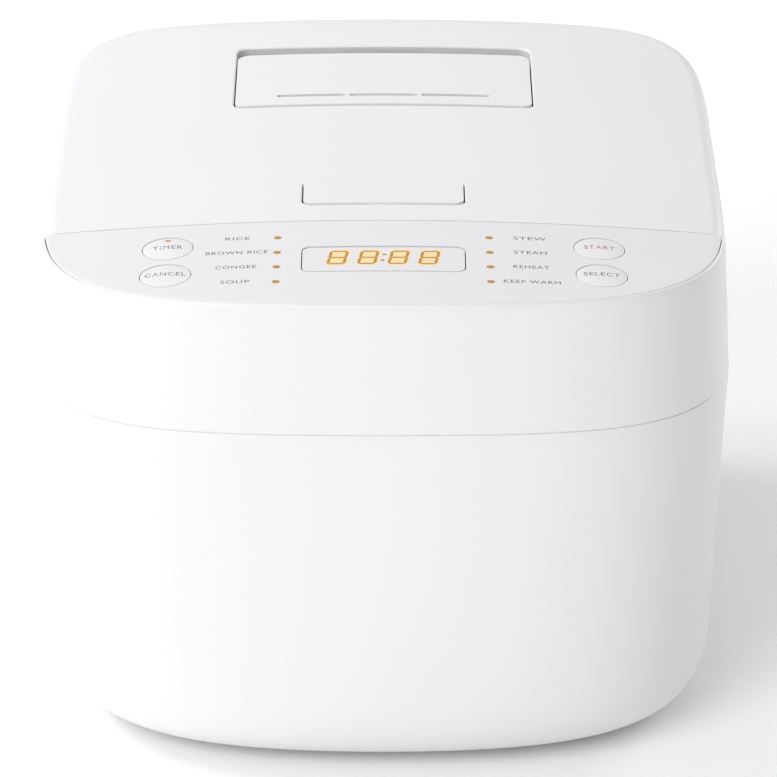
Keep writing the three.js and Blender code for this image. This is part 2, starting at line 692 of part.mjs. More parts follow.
function makeHinge() {
  const bore = shaftRadius + fitGap;
  for (const [name, side] of [["left", -1], ["right", 1]]) {
    const inner = side * (lidBarrelHalf + 2 * fitGap);
    const outer = side * bracketOuter;
    const blind = side * (bracketOuter - bracketEnd);
    let profile = [[0, outer], [barrelRadius, outer], [barrelRadius, inner]];
    profile.push([bore, inner], [bore, blind], [0, blind]);
    profile = side > 0 ? profile.reverse() : profile;
    const ends = [inner, outer].sort((a, b) => a - b);
    const low = [ends[0], hingeY - hingeWebDepth, hingeLevel - hingeWebDrop];
    const web = box(low, [ends[1], hingeY - 0.4, partingLevel - 0.1]);
    const hole = rodAlongX(bore, Math.min(inner, blind), Math.max(inner, blind), hingeY, hingeLevel);
    const barrel = turnedAlongX(profile, 24, hingeY, hingeLevel);
    addPiece(`hinge_bracket_${name}`, barrel.add(web.subtract(hole)), "shell");
  }
  const half = lidBarrelHalf;
  const room = barrelRadius - barrelWall;
  const cheek = half - barrelCheek;
  const loop = [[bore, -half], [barrelRadius, -half], [barrelRadius, half], [bore, half], [bore, cheek]];
  loop.push([room, cheek], [room, -cheek], [bore, -cheek], [bore, -half]);
  const barrel = turnedAlongX(loop, 24, hingeY, hingeLevel);
  const webTop = lidFrameTop + fitGap + hingeWebThickness;
  let web = box([-half, hingeY - hingeWebDepth, hingeLevel + 0.2], [half, hingeY - 2.6, webTop]);
  web = web.add(box([-half + 3, hingeY - 28, lidFrameTop + fitGap], [half - 3, hingeY - 5, webTop]));
  web = web.subtract(rodAlongX(room + 0.2, -half, half, hingeY, hingeLevel));
  addPiece("lid_hinge_barrel", barrel.add(web), "shell");
  const shaftHalf = bracketOuter - bracketEnd - fitGap;
  addPiece("hinge_shaft", rodAlongX(shaftRadius, -shaftHalf, shaftHalf, hingeY, hingeLevel), "steel");
  const points = [];
  const steps = hingeSpringTurns * 8;
  const springHalf = cheek - 4.2;
  const radius = (shaftRadius + room) / 2;
  const wire = (room - shaftRadius) / 2 - hingeSpringClear;
  for (let i = 0; i <= steps; i += 1) {
    const turn = i * Math.PI / 4;
    const x = springHalf * (2 * i / steps - 1);
    points.push(new THREE.Vector3(x, hingeY + radius * Math.cos(turn), hingeLevel + radius * Math.sin(turn)));
  }
  addPiece("hinge_spring", sweptWire(points, wire, steps), "steel");
}

// ---- Lid -----------------------------------------------------------------------------------

const lidFrameLow = partingLevel + frameRise;
const lidFrameTop = lidFrameLow + framePlate;
const lidLow = partingLevel + seamGap / 2 + 0.2;
const lidFrontY = seamY + seamGap / 2;
const releaseFrontY = behindPanelFront(releaseRows[0]);
const releaseRearY = behindPanelFront(releaseRows[1]);
const hookPivotY = behindPanelFront(hookPivotRow);
const hookY = { front: lidFrontY + shellWall + 0.4, rear: lidFrontY + shellWall + 4.4 };
const ventY = ventRows.map(behindPanelFront);
const ventCapRearY = ventY[0] + ventCapDepth;
const ventFloorTop = crownLevel - ventRecessDepth;
const tubeY = behindPanelFront(tubeRow);

function cutBarrelRoom(solid) {
  let cut = solid;
  const clear = barrelRadius + lidAngleClear;
  for (const side of [-1, 1]) {
    const ends = [side * lidBarrelHalf, side * (bracketOuter + 1)].sort((a, b) => a - b);
    cut = cut.subtract(roundHinge(clear, ends[0], ends[1]));
  }
  const half = lidBarrelHalf + fitGap;
  cut = cut.subtract(roundHinge(barrelRadius + fitGap, -half, half));
  const low = [-half, hingeY - hingeWebDepth - fitGap, 0];
  return cut.subtract(box(low, [half, far, lidFrameTop + 2 * fitGap + hingeWebThickness]));
}

function makeLidCover() {
  let solid = crownedBlock(lidLow, lidStep, 0, topEdgeRadius).intersect(behind(lidFrontY));
  const hollow = crownedBlock(lidLow - 5, lidStep + shellWall, shellWall, topEdgeRadius - 1.5)
    .intersect(behind(lidFrontY + shellWall));
  solid = solid.subtract(hollow);
  const wall = 2;
  const trayLow = ventFloorTop - ventFloor;
  const tray = roundedBlock(ventWidth + 2 * wall, ventY[0] - wall, ventY[1] + wall, ventFrontCorner + wall,
    trayLow, crownLevel - 2.2);
  solid = solid.add(tray.intersect(crownedBlock(deckTop, 8, 1, 0.5)));
  solid = solid.subtract(roundedBlock(ventWidth, ventY[0], ventY[1], ventFrontCorner, ventFloorTop, far));
  solid = solid.subtract(disc(tubeRadius + fitGap, 0, far, [0, tubeY], 28));
  const gap = releaseGap;
  const releaseHole = roundedBlock(releaseWidth + 2 * gap, releaseFrontY - gap, releaseRearY + gap,
    releaseCorner + gap, crownLevel - 8, far);
  solid = solid.subtract(releaseHole);
  addPiece("lid_cover", cutBarrelRoom(solid), "shell");
}

function makeLidFrame() {
  const rim = halfWidthAt(lidFrameTop) - lidStep - shellWall - fitGap;
  let solid = outlined([[0, lidFrameLow], [rim, lidFrameLow], [rim, lidFrameTop], [0, lidFrameTop]]);
  solid = solid.intersect(behind(lidFrontY + shellWall + fitGap));
  const slotHalf = hookWidth / 2 + 0.8;
  solid = solid.subtract(box([-slotHalf, lidFrontY, 0], [slotHalf, hookY.rear + 5, far]));
  for (const side of [-1, 1]) {
    const ends = [side * (slotHalf + 0.2), side * (slotHalf + 3)].sort((a, b) => a - b);
    const low = [ends[0], hookPivotY - 4, lidFrameTop - 1];
    solid = solid.add(box(low, [ends[1], hookPivotY + 4, hookPivotLevel + 4]));
  }
  solid = solid.subtract(rodAlongX(hookPinRadius + fitGap, -30, 30, hookPivotY, hookPivotLevel, 16));
  solid = solid.subtract(disc(tubeRadius + 1 + fitGap, 0, far, [0, tubeY], 28));
  addPiece("lid_frame", cutBarrelRoom(solid), "shell");
  const pinHalf = slotHalf + 3;
  addPiece("latch_pin", rodAlongX(hookPinRadius, -pinHalf, pinHalf, hookPivotY, hookPivotLevel, 14), "steel");
}

function makeInnerLid() {
  const low = flangeTop + fitGap;
  const gasketInner = flangeRadius - 2 - gasketWidth;
  const gasket = ring(gasketInner, flangeRadius - 2, low, low + gasketHeight, [0, potY], 44);
  addPiece("lid_gasket", gasket, "rubber");
  const sensorPlace = [lidSensorX, potY];
  let plate = disc(gasketInner - fitGap, low + 0.1, low + 0.1 + innerPlateThickness, [0, potY], 44);
  plate = plate.subtract(disc(lidSensorRadius + fitGap, 0, far, sensorPlace, 20));
  plate = plate.subtract(disc(5, 0, far, [0, tubeY], 20));
  addPiece("inner_lid_plate", plate, "aluminium");
  addPiece("lid_sensor", disc(lidSensorRadius, low - 1, lidFrameLow - fitGap, sensorPlace, 20), "steel");
  const sleeveLow = low + 0.1 + innerPlateThickness + fitGap;
  const sleeveTop = ventFloorTop - ventFloor - fitGap;
  const sleeve = ring(tubeRadius - 1.5, tubeRadius + 1, sleeveLow, sleeveTop, [0, tubeY], 24);
  addPiece("steam_sleeve", sleeve, "rubber");
}

function makeSteamVent() {
  const width = ventWidth - 2 * fitGap;
  const low = ventFloorTop + fitGap;
  const front = ventY[0] + fitGap;
  const rear = ventCapRearY;
  const baseTop = low + 2;
  const outer = roundedBlock(width, front, rear, ventFrontCorner, baseTop + fitGap, far)
    .intersect(flushBlock);
  const inner = roundedBlock(width - 4, front + 2, rear - 2, ventFrontCorner - 1.5, 0, far)
    .intersect(crownedBlock(deckTop, 8, 2.2, 0.5));
  let cap = outer.subtract(inner);
  const y = behindPanelFront(slitRow);
  for (const step of [-1, 0, 1]) {
    const x = step * slitSpacing;
    const low3 = [x - slitLength / 2, y - slitWidth / 2, ventFloorTop];
    cap = cap.subtract(box(low3, [x + slitLength / 2, y + slitWidth / 2, far]));
  }
  addPiece("steam_cap", cap, "shell");
  const plate = roundedBlock(width, front, rear, ventFrontCorner, low, baseTop);
  const tubeLow = ventFloorTop - ventFloor;
  const tube = ring(tubeRadius - 2, tubeRadius, tubeLow, baseTop + 4, [0, tubeY], 24);
  const bore = disc(tubeRadius - 2, 0, far, [0, tubeY], 24);
  addPiece("steam_valve", plate.add(tube).subtract(bore), "shell");
}

function makeLatch() {
  const topPlate = roundedBlock(releaseWidth, releaseFrontY, releaseRearY, releaseCorner, crownLevel - 4, far)
    .intersect(flushBlock).subtract(crownedBlock(deckTop, 0, 2.5, 0.4));
  const ribY = hookPivotY - ribReach;
  const ribLow = hookPivotLevel + 4.4;
  const halfRib = ribThickness / 2;
  const rib = box([-6, ribY - halfRib, ribLow], [6, ribY + halfRib, crownLevel - 1.5]);
  addPiece("release_button", topPlate.add(rib), "shell");
  const level = hookPivotLevel;
  const noseTop = deckBottom - 4;
  const outline = [
    [hookPivotY + 4, level - 3.5], [hookPivotY + 4, level + 3.5], [ribY - 2, level + 3.5],
    [hookY.front, level - 2], [hookY.front, noseTop], [hookY.front - 1.4, noseTop],
    [hookY.front - 1.4, noseTop - 1.9], [hookY.front + 1.6, noseTop - 7], [hookY.rear, noseTop - 6],
    [hookY.rear, level - 6], [hookPivotY - 9, level - 3.5],
  ];
  const shape = new THREE.Shape(outline.map(([y, z]) => new THREE.Vector2(y, z)));
  const geometry = new THREE.ExtrudeGeometry(shape, { depth: hookWidth, bevelEnabled: false });
  geometry.rotateX(Math.PI / 2);
  geometry.rotateZ(Math.PI / 2);
  geometry.translate(-hookWidth / 2, 0, 0);
  const hook = toSolid(geometry)
    .subtract(rodAlongX(hookPinRadius + fitGap, -20, 20, hookPivotY, hookPivotLevel, 16));
  addPiece("latch_hook", hook, "dark");
  const keeperRear = hookY.front - 1.8;
  const keeperFront = seamY - seamGap / 2 - fitGap - 1.8;
  const keeper = box([-8, keeperFront, noseTop + 0.4], [8, keeperRear, deckBottom - fitGap]);
  addPiece("latch_keeper", keeper, "steel");
}

makeLowerHousing();
makeUpperHousing();
makeRimFrame();
makeBaseCover();
makeFeetAndScrews();
makeControlPanel();
makeDisplay();
makeLights();
makeButtons();
makePot();
makeHeater();
makeElectrics();
makeHinge();
makeLidCover();
makeLidFrame();
makeInnerLid();
makeSteamVent();
makeLatch();

export default cooker;
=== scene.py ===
import math
import bmesh
import bpy
from mathutils import Matrix, Vector
from mathutils.bvhtree import BVHTree
from mathutils.interpolate import poly_3d_calc


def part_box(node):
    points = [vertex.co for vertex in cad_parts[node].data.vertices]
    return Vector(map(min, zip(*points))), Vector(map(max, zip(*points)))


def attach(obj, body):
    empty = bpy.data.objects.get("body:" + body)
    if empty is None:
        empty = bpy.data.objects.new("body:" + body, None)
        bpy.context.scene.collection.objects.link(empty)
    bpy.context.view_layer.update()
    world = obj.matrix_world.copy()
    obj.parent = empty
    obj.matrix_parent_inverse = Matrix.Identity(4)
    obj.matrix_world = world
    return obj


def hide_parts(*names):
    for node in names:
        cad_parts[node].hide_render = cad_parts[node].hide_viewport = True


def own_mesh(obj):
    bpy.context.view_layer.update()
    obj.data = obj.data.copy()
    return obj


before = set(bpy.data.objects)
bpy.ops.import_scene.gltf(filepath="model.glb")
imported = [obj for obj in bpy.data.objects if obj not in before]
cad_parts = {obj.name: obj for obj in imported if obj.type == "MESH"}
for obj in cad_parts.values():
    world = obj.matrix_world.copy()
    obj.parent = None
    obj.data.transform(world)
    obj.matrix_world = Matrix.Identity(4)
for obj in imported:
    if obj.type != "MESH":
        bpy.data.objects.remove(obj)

scene = bpy.context.scene
mm = 0.001
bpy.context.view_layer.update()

# ---- small helpers ----


def linearColour(hexText):
    # sRGB hex to the linear values that a shader socket takes
    parts = [int(hexText[i:i + 2], 16) / 255 for i in (1, 3, 5)]
    return [v / 12.92 if v <= 0.04045 else ((v + 0.055) / 1.055) ** 2.4 for v in parts] + [1.0]


def addNode(tree, kind, values=None, links=None, **settings):
    # one node with its settings, socket values and incoming links
    node = tree.nodes.new(kind)
    for key, value in settings.items():
        setattr(node, key, value)
    for socket, value in (values or {}).items():
        node.inputs[socket].default_value = value
    for socket, source in (links or {}).items():
        tree.links.new(source, node.inputs[socket])
    return node


def linkObject(name, mesh, materials):
    piece = bpy.data.objects.new(name, mesh)
    scene.collection.objects.link(piece)
    mesh.materials.clear()
    for material in materials:
        mesh.materials.append(material)
    return piece


def smoothByAngle(piece, degrees=32, source=None):
    # smooth shading with sharp edges over an angle; where the piece still lies on the uncut
    # source form, its normals come from that form, so that cuts leave no ripples
    mesh = piece.data
    mesh.shade_smooth()
    mesh.set_sharp_from_angle(angle=math.radians(degrees))
    if not source:
        return
    limit = math.cos(math.radians(25))
    surface = BVHTree.FromPolygons([v.co for v in source.vertices], [p.vertices for p in source.polygons])
    normals = [corner.vector.copy() for corner in mesh.corner_normals]
    found = {}
    for face in mesh.polygons:
        for loopIndex in face.loop_indices:
            index = mesh.loops[loopIndex].vertex_index
            if index not in found:
                found[index] = None
                spot, _, faceIndex, away = surface.find_nearest(mesh.vertices[index].co)
                if away < 0.03 * mm:
                    corners = source.polygons[faceIndex].vertices
                    weights = poly_3d_calc([source.vertices[i].co for i in corners], spot)
                    normal = Vector()
                    for i, weight in zip(corners, weights):
                        normal += source.vertices[i].normal * weight
                    found[index] = normal.normalized()
            if found[index] and found[index].dot(face.normal) > limit:
                normals[loopIndex] = found[index]
    mesh.normals_split_custom_set(normals)


def bakeModifiers(piece):
    # turns a piece and its modifiers into one plain mesh
    bpy.context.view_layer.update()
    graph = bpy.context.evaluated_depsgraph_get()
    result = bpy.data.meshes.new_from_object(piece.evaluated_get(graph), depsgraph=graph)
    piece.modifiers.clear()
    piece.data = result
    return piece


def meshFrom(name, bm):
    mesh = bpy.data.meshes.new(name)
    bm.to_mesh(mesh)
    bm.free()
    return mesh


def revolvedMesh(name, profile, turns=128, centre=(0, 0)):
    # a closed surface of revolution about Z; the profile is (radius, level) in mm, and either
    # starts and ends on the axis or returns to its first point
    bm = bmesh.new()
    loop = profile[0] == profile[-1]
    points = profile[:-1] if loop else profile
    rings = []
    for radius, level in points:
        if radius < 1e-6:
            rings.append([bm.verts.new((centre[0] * mm, centre[1] * mm, level * mm))])
            continue
        ring = []
        for i in range(turns):
            angle = 2 * math.pi * i / turns
            x = centre[0] + radius * math.cos(angle)
            y = centre[1] + radius * math.sin(angle)
            ring.append(bm.verts.new((x * mm, y * mm, level * mm)))
        rings.append(ring)
    pairs = list(zip(rings, rings[1:] + ([rings[0]] if loop else [])))
    for low, high in pairs:
        if len(low) == 1 and len(high) == 1:
            continue
        for i in range(turns):
            j = (i + 1) % turns
            corners = [low[i % len(low)], low[j % len(low)], high[j % len(high)], high[i % len(high)]]
            corners = [v for k, v in enumerate(corners) if v not in corners[:k]]
            bm.faces.new(corners)
    bmesh.ops.recalc_face_normals(bm, faces=bm.faces)
    return meshFrom(name, bm)


def roundedOutline(width, front, rear, radii, steps=10):
    # corner points of a rounded rectangle in plan; radii are (front, rear)
    points = []
    half = width / 2
    corners = [
        (half, rear, radii[1], 0), (-half, rear, radii[1], 90),
        (-half, front, radii[0], 180), (half, front, radii[0], 270),
    ]
    for x, y, radius, start in corners:
        cx = x - math.copysign(radius, x)
        cy = y - radius if y == rear else y + radius
        for i in range(steps + 1):
            angle = math.radians(start + 90 * i / steps)
            points.append((cx + radius * math.cos(angle), cy + radius * math.sin(angle)))
    return points


def ringsMesh(name, rings, split=False):
    # a closed mesh from rings of equally many points in metres: its walls and two end faces
    bm = bmesh.new()
    loops = [[bm.verts.new(point) for point in ring] for ring in rings]
    bm.faces.new(loops[0])
    bm.faces.new(loops[-1])
    for lower, upper in zip(loops, loops[1:]):
        for i in range(len(lower)):
            j = (i + 1) % len(lower)
            bm.faces.new([lower[i], lower[j], upper[j], upper[i]])
    bmesh.ops.recalc_face_normals(bm, faces=bm.faces)
    if split:
        bmesh.ops.triangulate(bm, faces=[f for f in bm.faces if len(f.verts) > 4])
    return meshFrom(name, bm)


def prismMesh(name, outline, low, high, plane="xy"):
    # an upright prism from a list of plan points in mm; plane "yz" lays it along X
    if plane == "xy":
        rings = [[(x * mm, y * mm, level * mm) for x, y in outline] for level in (low, high)]
    else:
        rings = [[(level * mm, x * mm, y * mm) for x, y in outline] for level in (low, high)]
    return ringsMesh(name, rings)


def rodMesh(radius, low, high, turns, centre=(0, 0)):
    return revolvedMesh("rod", [(0, low), (radius, low), (radius, high), (0, high)], turns, centre)


def boxMesh(name, low, high, bevel=0.0, segments=3):
    bm = bmesh.new()
    size = [(b - a) * mm for a, b in zip(low, high)]
    middle = [(a + b) / 2 * mm for a, b in zip(low, high)]
    bmesh.ops.create_cube(bm, size=1, matrix=Matrix.Translation(middle) @ Matrix.Diagonal((*size, 1)))
    if bevel:
        bmesh.ops.bevel(bm, geom=bm.edges[:], offset=bevel * mm, segments=segments, profile=0.5,
                        affect="EDGES")
    return meshFrom(name, bm)


def turnAlongX(mesh, y, z):
    # a mesh made about Z is laid along X, through (y, z) in mm
    mesh.transform(Matrix.Translation((0, y * mm, z * mm)) @ Matrix.Rotation(math.pi / 2, 4, "Y"))
    return mesh


def combined(piece, others, operation="DIFFERENCE"):
    # joins other meshes to a piece, or cuts them from it
    for mesh in others:
        tool = bpy.data.objects.new("tool", mesh)
        scene.collection.objects.link(tool)
        step = piece.modifiers.new("cut", "BOOLEAN")
        step.operation = operation
        step.solver = "MANIFOLD"
        step.object = tool
        bakeModifiers(piece)
        bpy.data.objects.remove(tool)
    return piece


def joined(name, meshes, materials):
    bm = bmesh.new()
    for mesh in meshes:
        bm.from_mesh(mesh)
    return linkObject(name, meshFrom(name, bm), materials)


def meshOf(piece):
    # keeps a piece's mesh and drops its object, for use as a cutter
    mesh = piece.data
    bpy.data.objects.remove(piece)
    return mesh


def carry(piece, body, slot, *nodes):
    # a cut leaves an empty material slot behind
    for index in reversed(range(len(piece.data.materials))):
        if not piece.data.materials[index]:
            piece.data.materials.pop(index=index)
    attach(piece, body)
    if nodes:
        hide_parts(*nodes)
    return piece


def finished(piece, body, slot, *nodes, degrees=32, source=None):
    smoothByAngle(piece, degrees, source)
    return carry(piece, body, slot, *nodes)


def boxOf(node):
    # the low corner, the high corner and the middle of a CAD node, in mm
    low, high = [[v / mm for v in corner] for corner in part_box(node)]
    return low, high, [(a + b) / 2 for a, b in zip(low, high)]


def startTree(name, inputs):
    # a geometry tree with named inputs, each the kind of its socket and a value or None
    tree = bpy.data.node_groups.new(name, "GeometryNodeTree")
    face = tree.interface
    face.new_socket("Geometry", in_out="INPUT", socket_type="NodeSocketGeometry")
    for label, (kind, value) in inputs.items():
        socket = face.new_socket(label, in_out="INPUT", socket_type="NodeSocket" + kind)
        if value is not None:
            socket.default_value = value
    face.new_socket("Finish", in_out="INPUT", socket_type="NodeSocketMaterial")
    face.new_socket("Geometry", in_out="OUTPUT", socket_type="NodeSocketGeometry")
    return tree, addNode(tree, "NodeGroupInput").outputs


def endTree(tree, start, source):
    real = addNode(tree, "GeometryNodeRealizeInstances", links={"Geometry": source.outputs[0]})
    done = addNode(tree, "GeometryNodeSetMaterial",
                   links={"Geometry": real.outputs[0], "Material": start["Finish"]})
    addNode(tree, "NodeGroupOutput", links={"Geometry": done.outputs[0]})
    return tree


# ---- materials ----

def startMaterial(name):
    # an empty node tree, and the object coordinates that its textures lie in
    material = bpy.data.materials.new(name)
    material.use_nodes = True
    tree = material.node_tree
    tree.nodes.clear()
    return material, tree, addNode(tree, "ShaderNodeTexCoord").outputs["Object"]


def noiseIn(tree, space, scale, detail):
    noise = addNode(tree, "ShaderNodeTexNoise", {"Scale": scale, "Detail": detail}, {"Vector": space})
    return noise.outputs["Fac"]


def ranged(tree, source, low, high):
    return addNode(tree, "ShaderNodeMapRange", {"To Min": low, "To Max": high},
                   {"Value": source}).outputs["Result"]


def endMaterial(tree, colour, shade, rough, height, bump, values):
    # the colour times its shade, with a roughness and a relief
    base = addNode(tree, "ShaderNodeMix", {0: 1.0, 6: linearColour(colour)}, {7: shade},
                   data_type="RGBA", blend_type="MULTIPLY")
    relief = addNode(tree, "ShaderNodeBump", {"Strength": bump, "Distance": 0.05 * mm}, {"Height": height})
    shader = addNode(tree, "ShaderNodeBsdfPrincipled", values,
                     {"Base Color": base.outputs[2], "Roughness": rough, "Normal": relief.outputs["Normal"]})
    addNode(tree, "ShaderNodeOutputMaterial", links={"Surface": shader.outputs["BSDF"]})


def plasticFinish(name, colour, roughness, grain=0.12, bump=0.04, mottle=0.02, glow=None):
    # moulded plastic: a fine even grain from the spark-eroded mould, and a faint cloudiness
    material, tree, space = startMaterial(name)
    cloud = noiseIn(tree, space, 14.0, 3.0)
    fine = noiseIn(tree, space, 1 / (grain * mm * 4), 2.0)
    values = {"IOR": 1.5}
    if glow:
        values.update({"Emission Color": linearColour(glow[0]), "Emission Strength": glow[1]})
    endMaterial(tree, colour, ranged(tree, cloud, 1 - mottle, 1.0),
                ranged(tree, cloud, roughness - 0.03, roughness + 0.03), fine, bump, values)
    return material


def metalFinish(name, colour, roughness, brush=(1.0, 1.0, 1.0), scale=900.0, bump=0.05):
    # worked metal: brush stretches the scratches along one direction
    material, tree, space = startMaterial(name)
    stretch = addNode(tree, "ShaderNodeMapping", {"Scale": brush}, {"Vector": space})
    scratch = noiseIn(tree, stretch.outputs["Vector"], scale, 4.0)
    endMaterial(tree, colour, ranged(tree, scratch, 0.93, 1.0),
                ranged(tree, scratch, roughness - 0.07, roughness + 0.07), scratch, bump, {"Metallic": 1.0})
    return material


# polypropylene shell, semi-gloss with a soft wide highlight
mouldedPolypropylene = plasticFinish("mouldedPolypropylene", "#E4E4E6", 0.34)
# the tray that the steam cap sits in, matt, with a darker colour that is painted shade of the recess
trayPaintedShadePolypropylene = plasticFinish("trayPaintedShadePolypropylene", "#C8C8CB", 0.5)
# the panel, its window and the keys are satin mouldings, a little greyer than the shell
satinPanelAbs = plasticFinish("satinPanelAbs", "#DFDFE1", 0.42)
satinKeyAbs = plasticFinish("satinKeyAbs", "#E2E2E4", 0.36)
# pad-printed ink, thin and matt
greyPrintInk = plasticFinish("greyPrintInk", "#6A6B70", 0.6)
redPrintInk = plasticFinish("redPrintInk", "#A8585E", 0.6)
# light guides and display segments, lit from below; the pale warm halo and field colours are painted glow of
# the lit segments
amberLightGuide = plasticFinish("amberLightGuide", "#B8822C", 0.35, glow=("#E8A020", 0.05))
amberPaintedGlowHalo = plasticFinish("amberPaintedGlowHalo", "#F2DDB8", 0.42)
warmPaintedGlowField = plasticFinish("warmPaintedGlowField", "#F1D9A6", 0.42)
# black glass-filled nylon of the inlet and the latch
texturedNylon = plasticFinish("texturedNylon", "#2A2A2C", 0.5, grain=0.25, bump=0.25)
solderMask = plasticFinish("solderMask", "#2E6A44", 0.45, bump=0.05)
siliconeRubber = plasticFinish("siliconeRubber", "#DADADC", 0.55, bump=0.05)
greyFootRubber = plasticFinish("greyFootRubber", "#B4B4B6", 0.75, grain=0.3, bump=0.3)
# fluoropolymer coating, dark with a fine sparkle
nonStickCoating = plasticFinish("nonStickCoating", "#3A3A3D", 0.38, grain=0.2, bump=0.18, mottle=0.25)
stainlessSteel = metalFinish("stainlessSteel", "#B9BBBE", 0.3, brush=(1.0, 1.0, 40.0))
spunAluminium = metalFinish("spunAluminium", "#C9CBCD", 0.36)
castAluminium = metalFinish("castAluminium", "#B8BABC", 0.5, scale=500.0, bump=0.2)
print("materials made")

# ---- the housing's form, shared by every shell ----

form = {
    "halfWidth": 134.5, "frontReach": 143.2, "rearReach": 155.4,
    "frontSquareness": 4.8, "rearSquareness": 6.5, "frontBow": 0.14, "cornerCrowding": 0.7,
    "bottomLevel": 3.0, "seamLevel": 151.6, "partingLevel": 167.5, "wideLevel": 146.5,
    "crownLevel": 203.5, "crownStart": 176.0, "crownRadius": 1363.0,
    "topTaper": 2.8, "bottomTaper": 5.4,
    "bottomRoundWidth": 28.8, "bottomRoundHeight": 30.7, "bottomRoundPower": 2.6,
    "rearFall": 5.0, "rearFallLength": 11.0, "turns": 256,
}
hingeY, hingeZ = boxOf("hinge_shaft")[2][1:]


def halfWidthAt(z):
    if z >= form["wideLevel"]:
        share = (z - form["wideLevel"]) / (form["crownLevel"] - form["wideLevel"])
        return form["halfWidth"] - form["topTaper"] * share
    lean = form["bottomTaper"] * (form["wideLevel"] - z) / (form["wideLevel"] - form["bottomLevel"])
    below = min(max(1 - (z - form["bottomLevel"]) / form["bottomRoundHeight"], 0), 1)
    power = form["bottomRoundPower"]
    return form["halfWidth"] - lean - form["bottomRoundWidth"] * (1 - (1 - below ** power) ** (1 / power))


# the outline's middle: the rear wall at the hinge's level lies on the hinge axis
sectionY = hingeY - halfWidthAt(hingeZ) * form["rearReach"] / form["halfWidth"]
frontBead, panelDepth = 0.9, 76.7
frontRatio = form["frontReach"] / form["halfWidth"]
panelFrontY = sectionY - (halfWidthAt(form["crownLevel"]) - frontBead) * frontRatio
seamY = panelFrontY + panelDepth


def crownAt(x):
    return form["crownLevel"] - x * x / (2 * form["crownRadius"])


def makeOutlineTree():
    # bends a turned mesh to the housing's squarish outline, its crown and its rounder rear edge
    rearRatio = form["rearReach"] / form["halfWidth"]
    sizes = {
        "Front squareness": form["frontSquareness"], "Rear squareness": form["rearSquareness"],
        "Front bow": form["frontBow"], "Corner crowding": form["cornerCrowding"],
        "Front ratio": frontRatio,
        "Rear ratio": rearRatio,
        "Section Y": sectionY * mm, "Least share": 0.0, "Crown start": form["crownStart"] * mm,
        "Crown level": form["crownLevel"] * mm, "Crown radius": form["crownRadius"] * mm,
        "Rear fall": form["rearFall"] * mm, "Rear fall length": form["rearFallLength"] * mm,
        "Rear edge": (sectionY + halfWidthAt(form["crownLevel"]) * rearRatio) * mm,
    }
    tree, start = startTree("bendToOutline", {label: ("Float", value) for label, value in sizes.items()})

    def calc(operation, *terms):
        node = addNode(tree, "ShaderNodeMath", operation=operation)
        for i, term in enumerate(terms):
            if isinstance(term, (int, float)):
                node.inputs[i].default_value = term
            else:
                tree.links.new(term, node.inputs[i])
        return node.outputs[0]

    place = addNode(tree, "GeometryNodeInputPosition")
    parts = addNode(tree, "ShaderNodeSeparateXYZ", links={"Vector": place.outputs[0]}).outputs
    squares = calc("ADD", calc("MULTIPLY", parts[0], parts[0]), calc("MULTIPLY", parts[1], parts[1]))
    radius = calc("SQRT", squares)
    front = calc("LESS_THAN", parts[1], 0.0)
    square = calc("ADD", calc("MULTIPLY", front, start["Front squareness"]),
                  calc("MULTIPLY", calc("SUBTRACT", 1.0, front), start["Rear squareness"]))
    crowd = start["Corner crowding"]
    dx = calc("POWER", calc("ABSOLUTE", calc("DIVIDE", parts[0], radius)), crowd)
    dy = calc("POWER", calc("ABSOLUTE", calc("DIVIDE", parts[1], radius)), crowd)
    # the middle of a cap has no direction, so its sum is kept off zero
    total = calc("MAXIMUM", calc("ADD", calc("POWER", dx, square), calc("POWER", dy, square)), 1e-6)
    reach = calc("POWER", total, calc("DIVIDE", -1.0, square))
    across = calc("MULTIPLY", calc("MULTIPLY", dx, reach), calc("SIGN", parts[0]))
    along = calc("MULTIPLY", calc("MULTIPLY", dy, reach), calc("SIGN", parts[1]))
    bowed = calc("MULTIPLY", calc("MULTIPLY", front, start["Front bow"]), calc("MULTIPLY", across, across))
    along = calc("MULTIPLY", along, calc("SUBTRACT", 1.0, bowed))
    ratio = calc("ADD", calc("MULTIPLY", front, start["Front ratio"]),
                 calc("MULTIPLY", calc("SUBTRACT", 1.0, front), start["Rear ratio"]))
    newX = calc("MULTIPLY", radius, across)
    newY = calc("ADD", calc("MULTIPLY", calc("MULTIPLY", radius, along), ratio), start["Section Y"])
    span = calc("SUBTRACT", start["Crown level"], start["Crown start"])
    share = calc("MAXIMUM", calc("DIVIDE", calc("SUBTRACT", parts[2], start["Crown start"]), span),
                 start["Least share"])
    drop = calc("DIVIDE", calc("MULTIPLY", newX, newX), calc("MULTIPLY", 2.0, start["Crown radius"]))
    beyond = calc("SUBTRACT", newY, calc("SUBTRACT", start["Rear edge"], start["Rear fall length"]))
    turn = calc("MINIMUM", calc("MAXIMUM", calc("DIVIDE", beyond, start["Rear fall length"]), 0.0), 1.0)
    fall = calc("SUBTRACT", 1.0, calc("SQRT", calc("SUBTRACT", 1.0, calc("MULTIPLY", turn, turn))))
    lowered = calc("ADD", drop, calc("MULTIPLY", fall, start["Rear fall"]))
    newZ = calc("SUBTRACT", parts[2], calc("MULTIPLY", share, lowered))
    target = addNode(tree, "ShaderNodeCombineXYZ", links={"X": newX, "Y": newY, "Z": newZ})
    moved = addNode(tree, "GeometryNodeSetPosition",
                    links={"Geometry": start["Geometry"], "Position": target.outputs[0]})
    return endTree(tree, start, moved)


outlineTree = makeOutlineTree()


def socketId(tree, label):
    return next(item.identifier for item in tree.interface.items_tree
                if item.name == label and item.in_out == "INPUT")


def outlined(name, profile, material, turns=None, settings=None):
    # a turned profile, bent to the outline by the node tree and made plain again
    piece = linkObject(name, revolvedMesh(name, profile, turns or form["turns"]), [material])
    bend = piece.modifiers.new("bend", "NODES")
    bend.node_group = outlineTree
    bend[socketId(outlineTree, "Finish")] = material
    for label, value in (settings or {}).items():
        bend[socketId(outlineTree, label)] = value
    return bakeModifiers(piece)


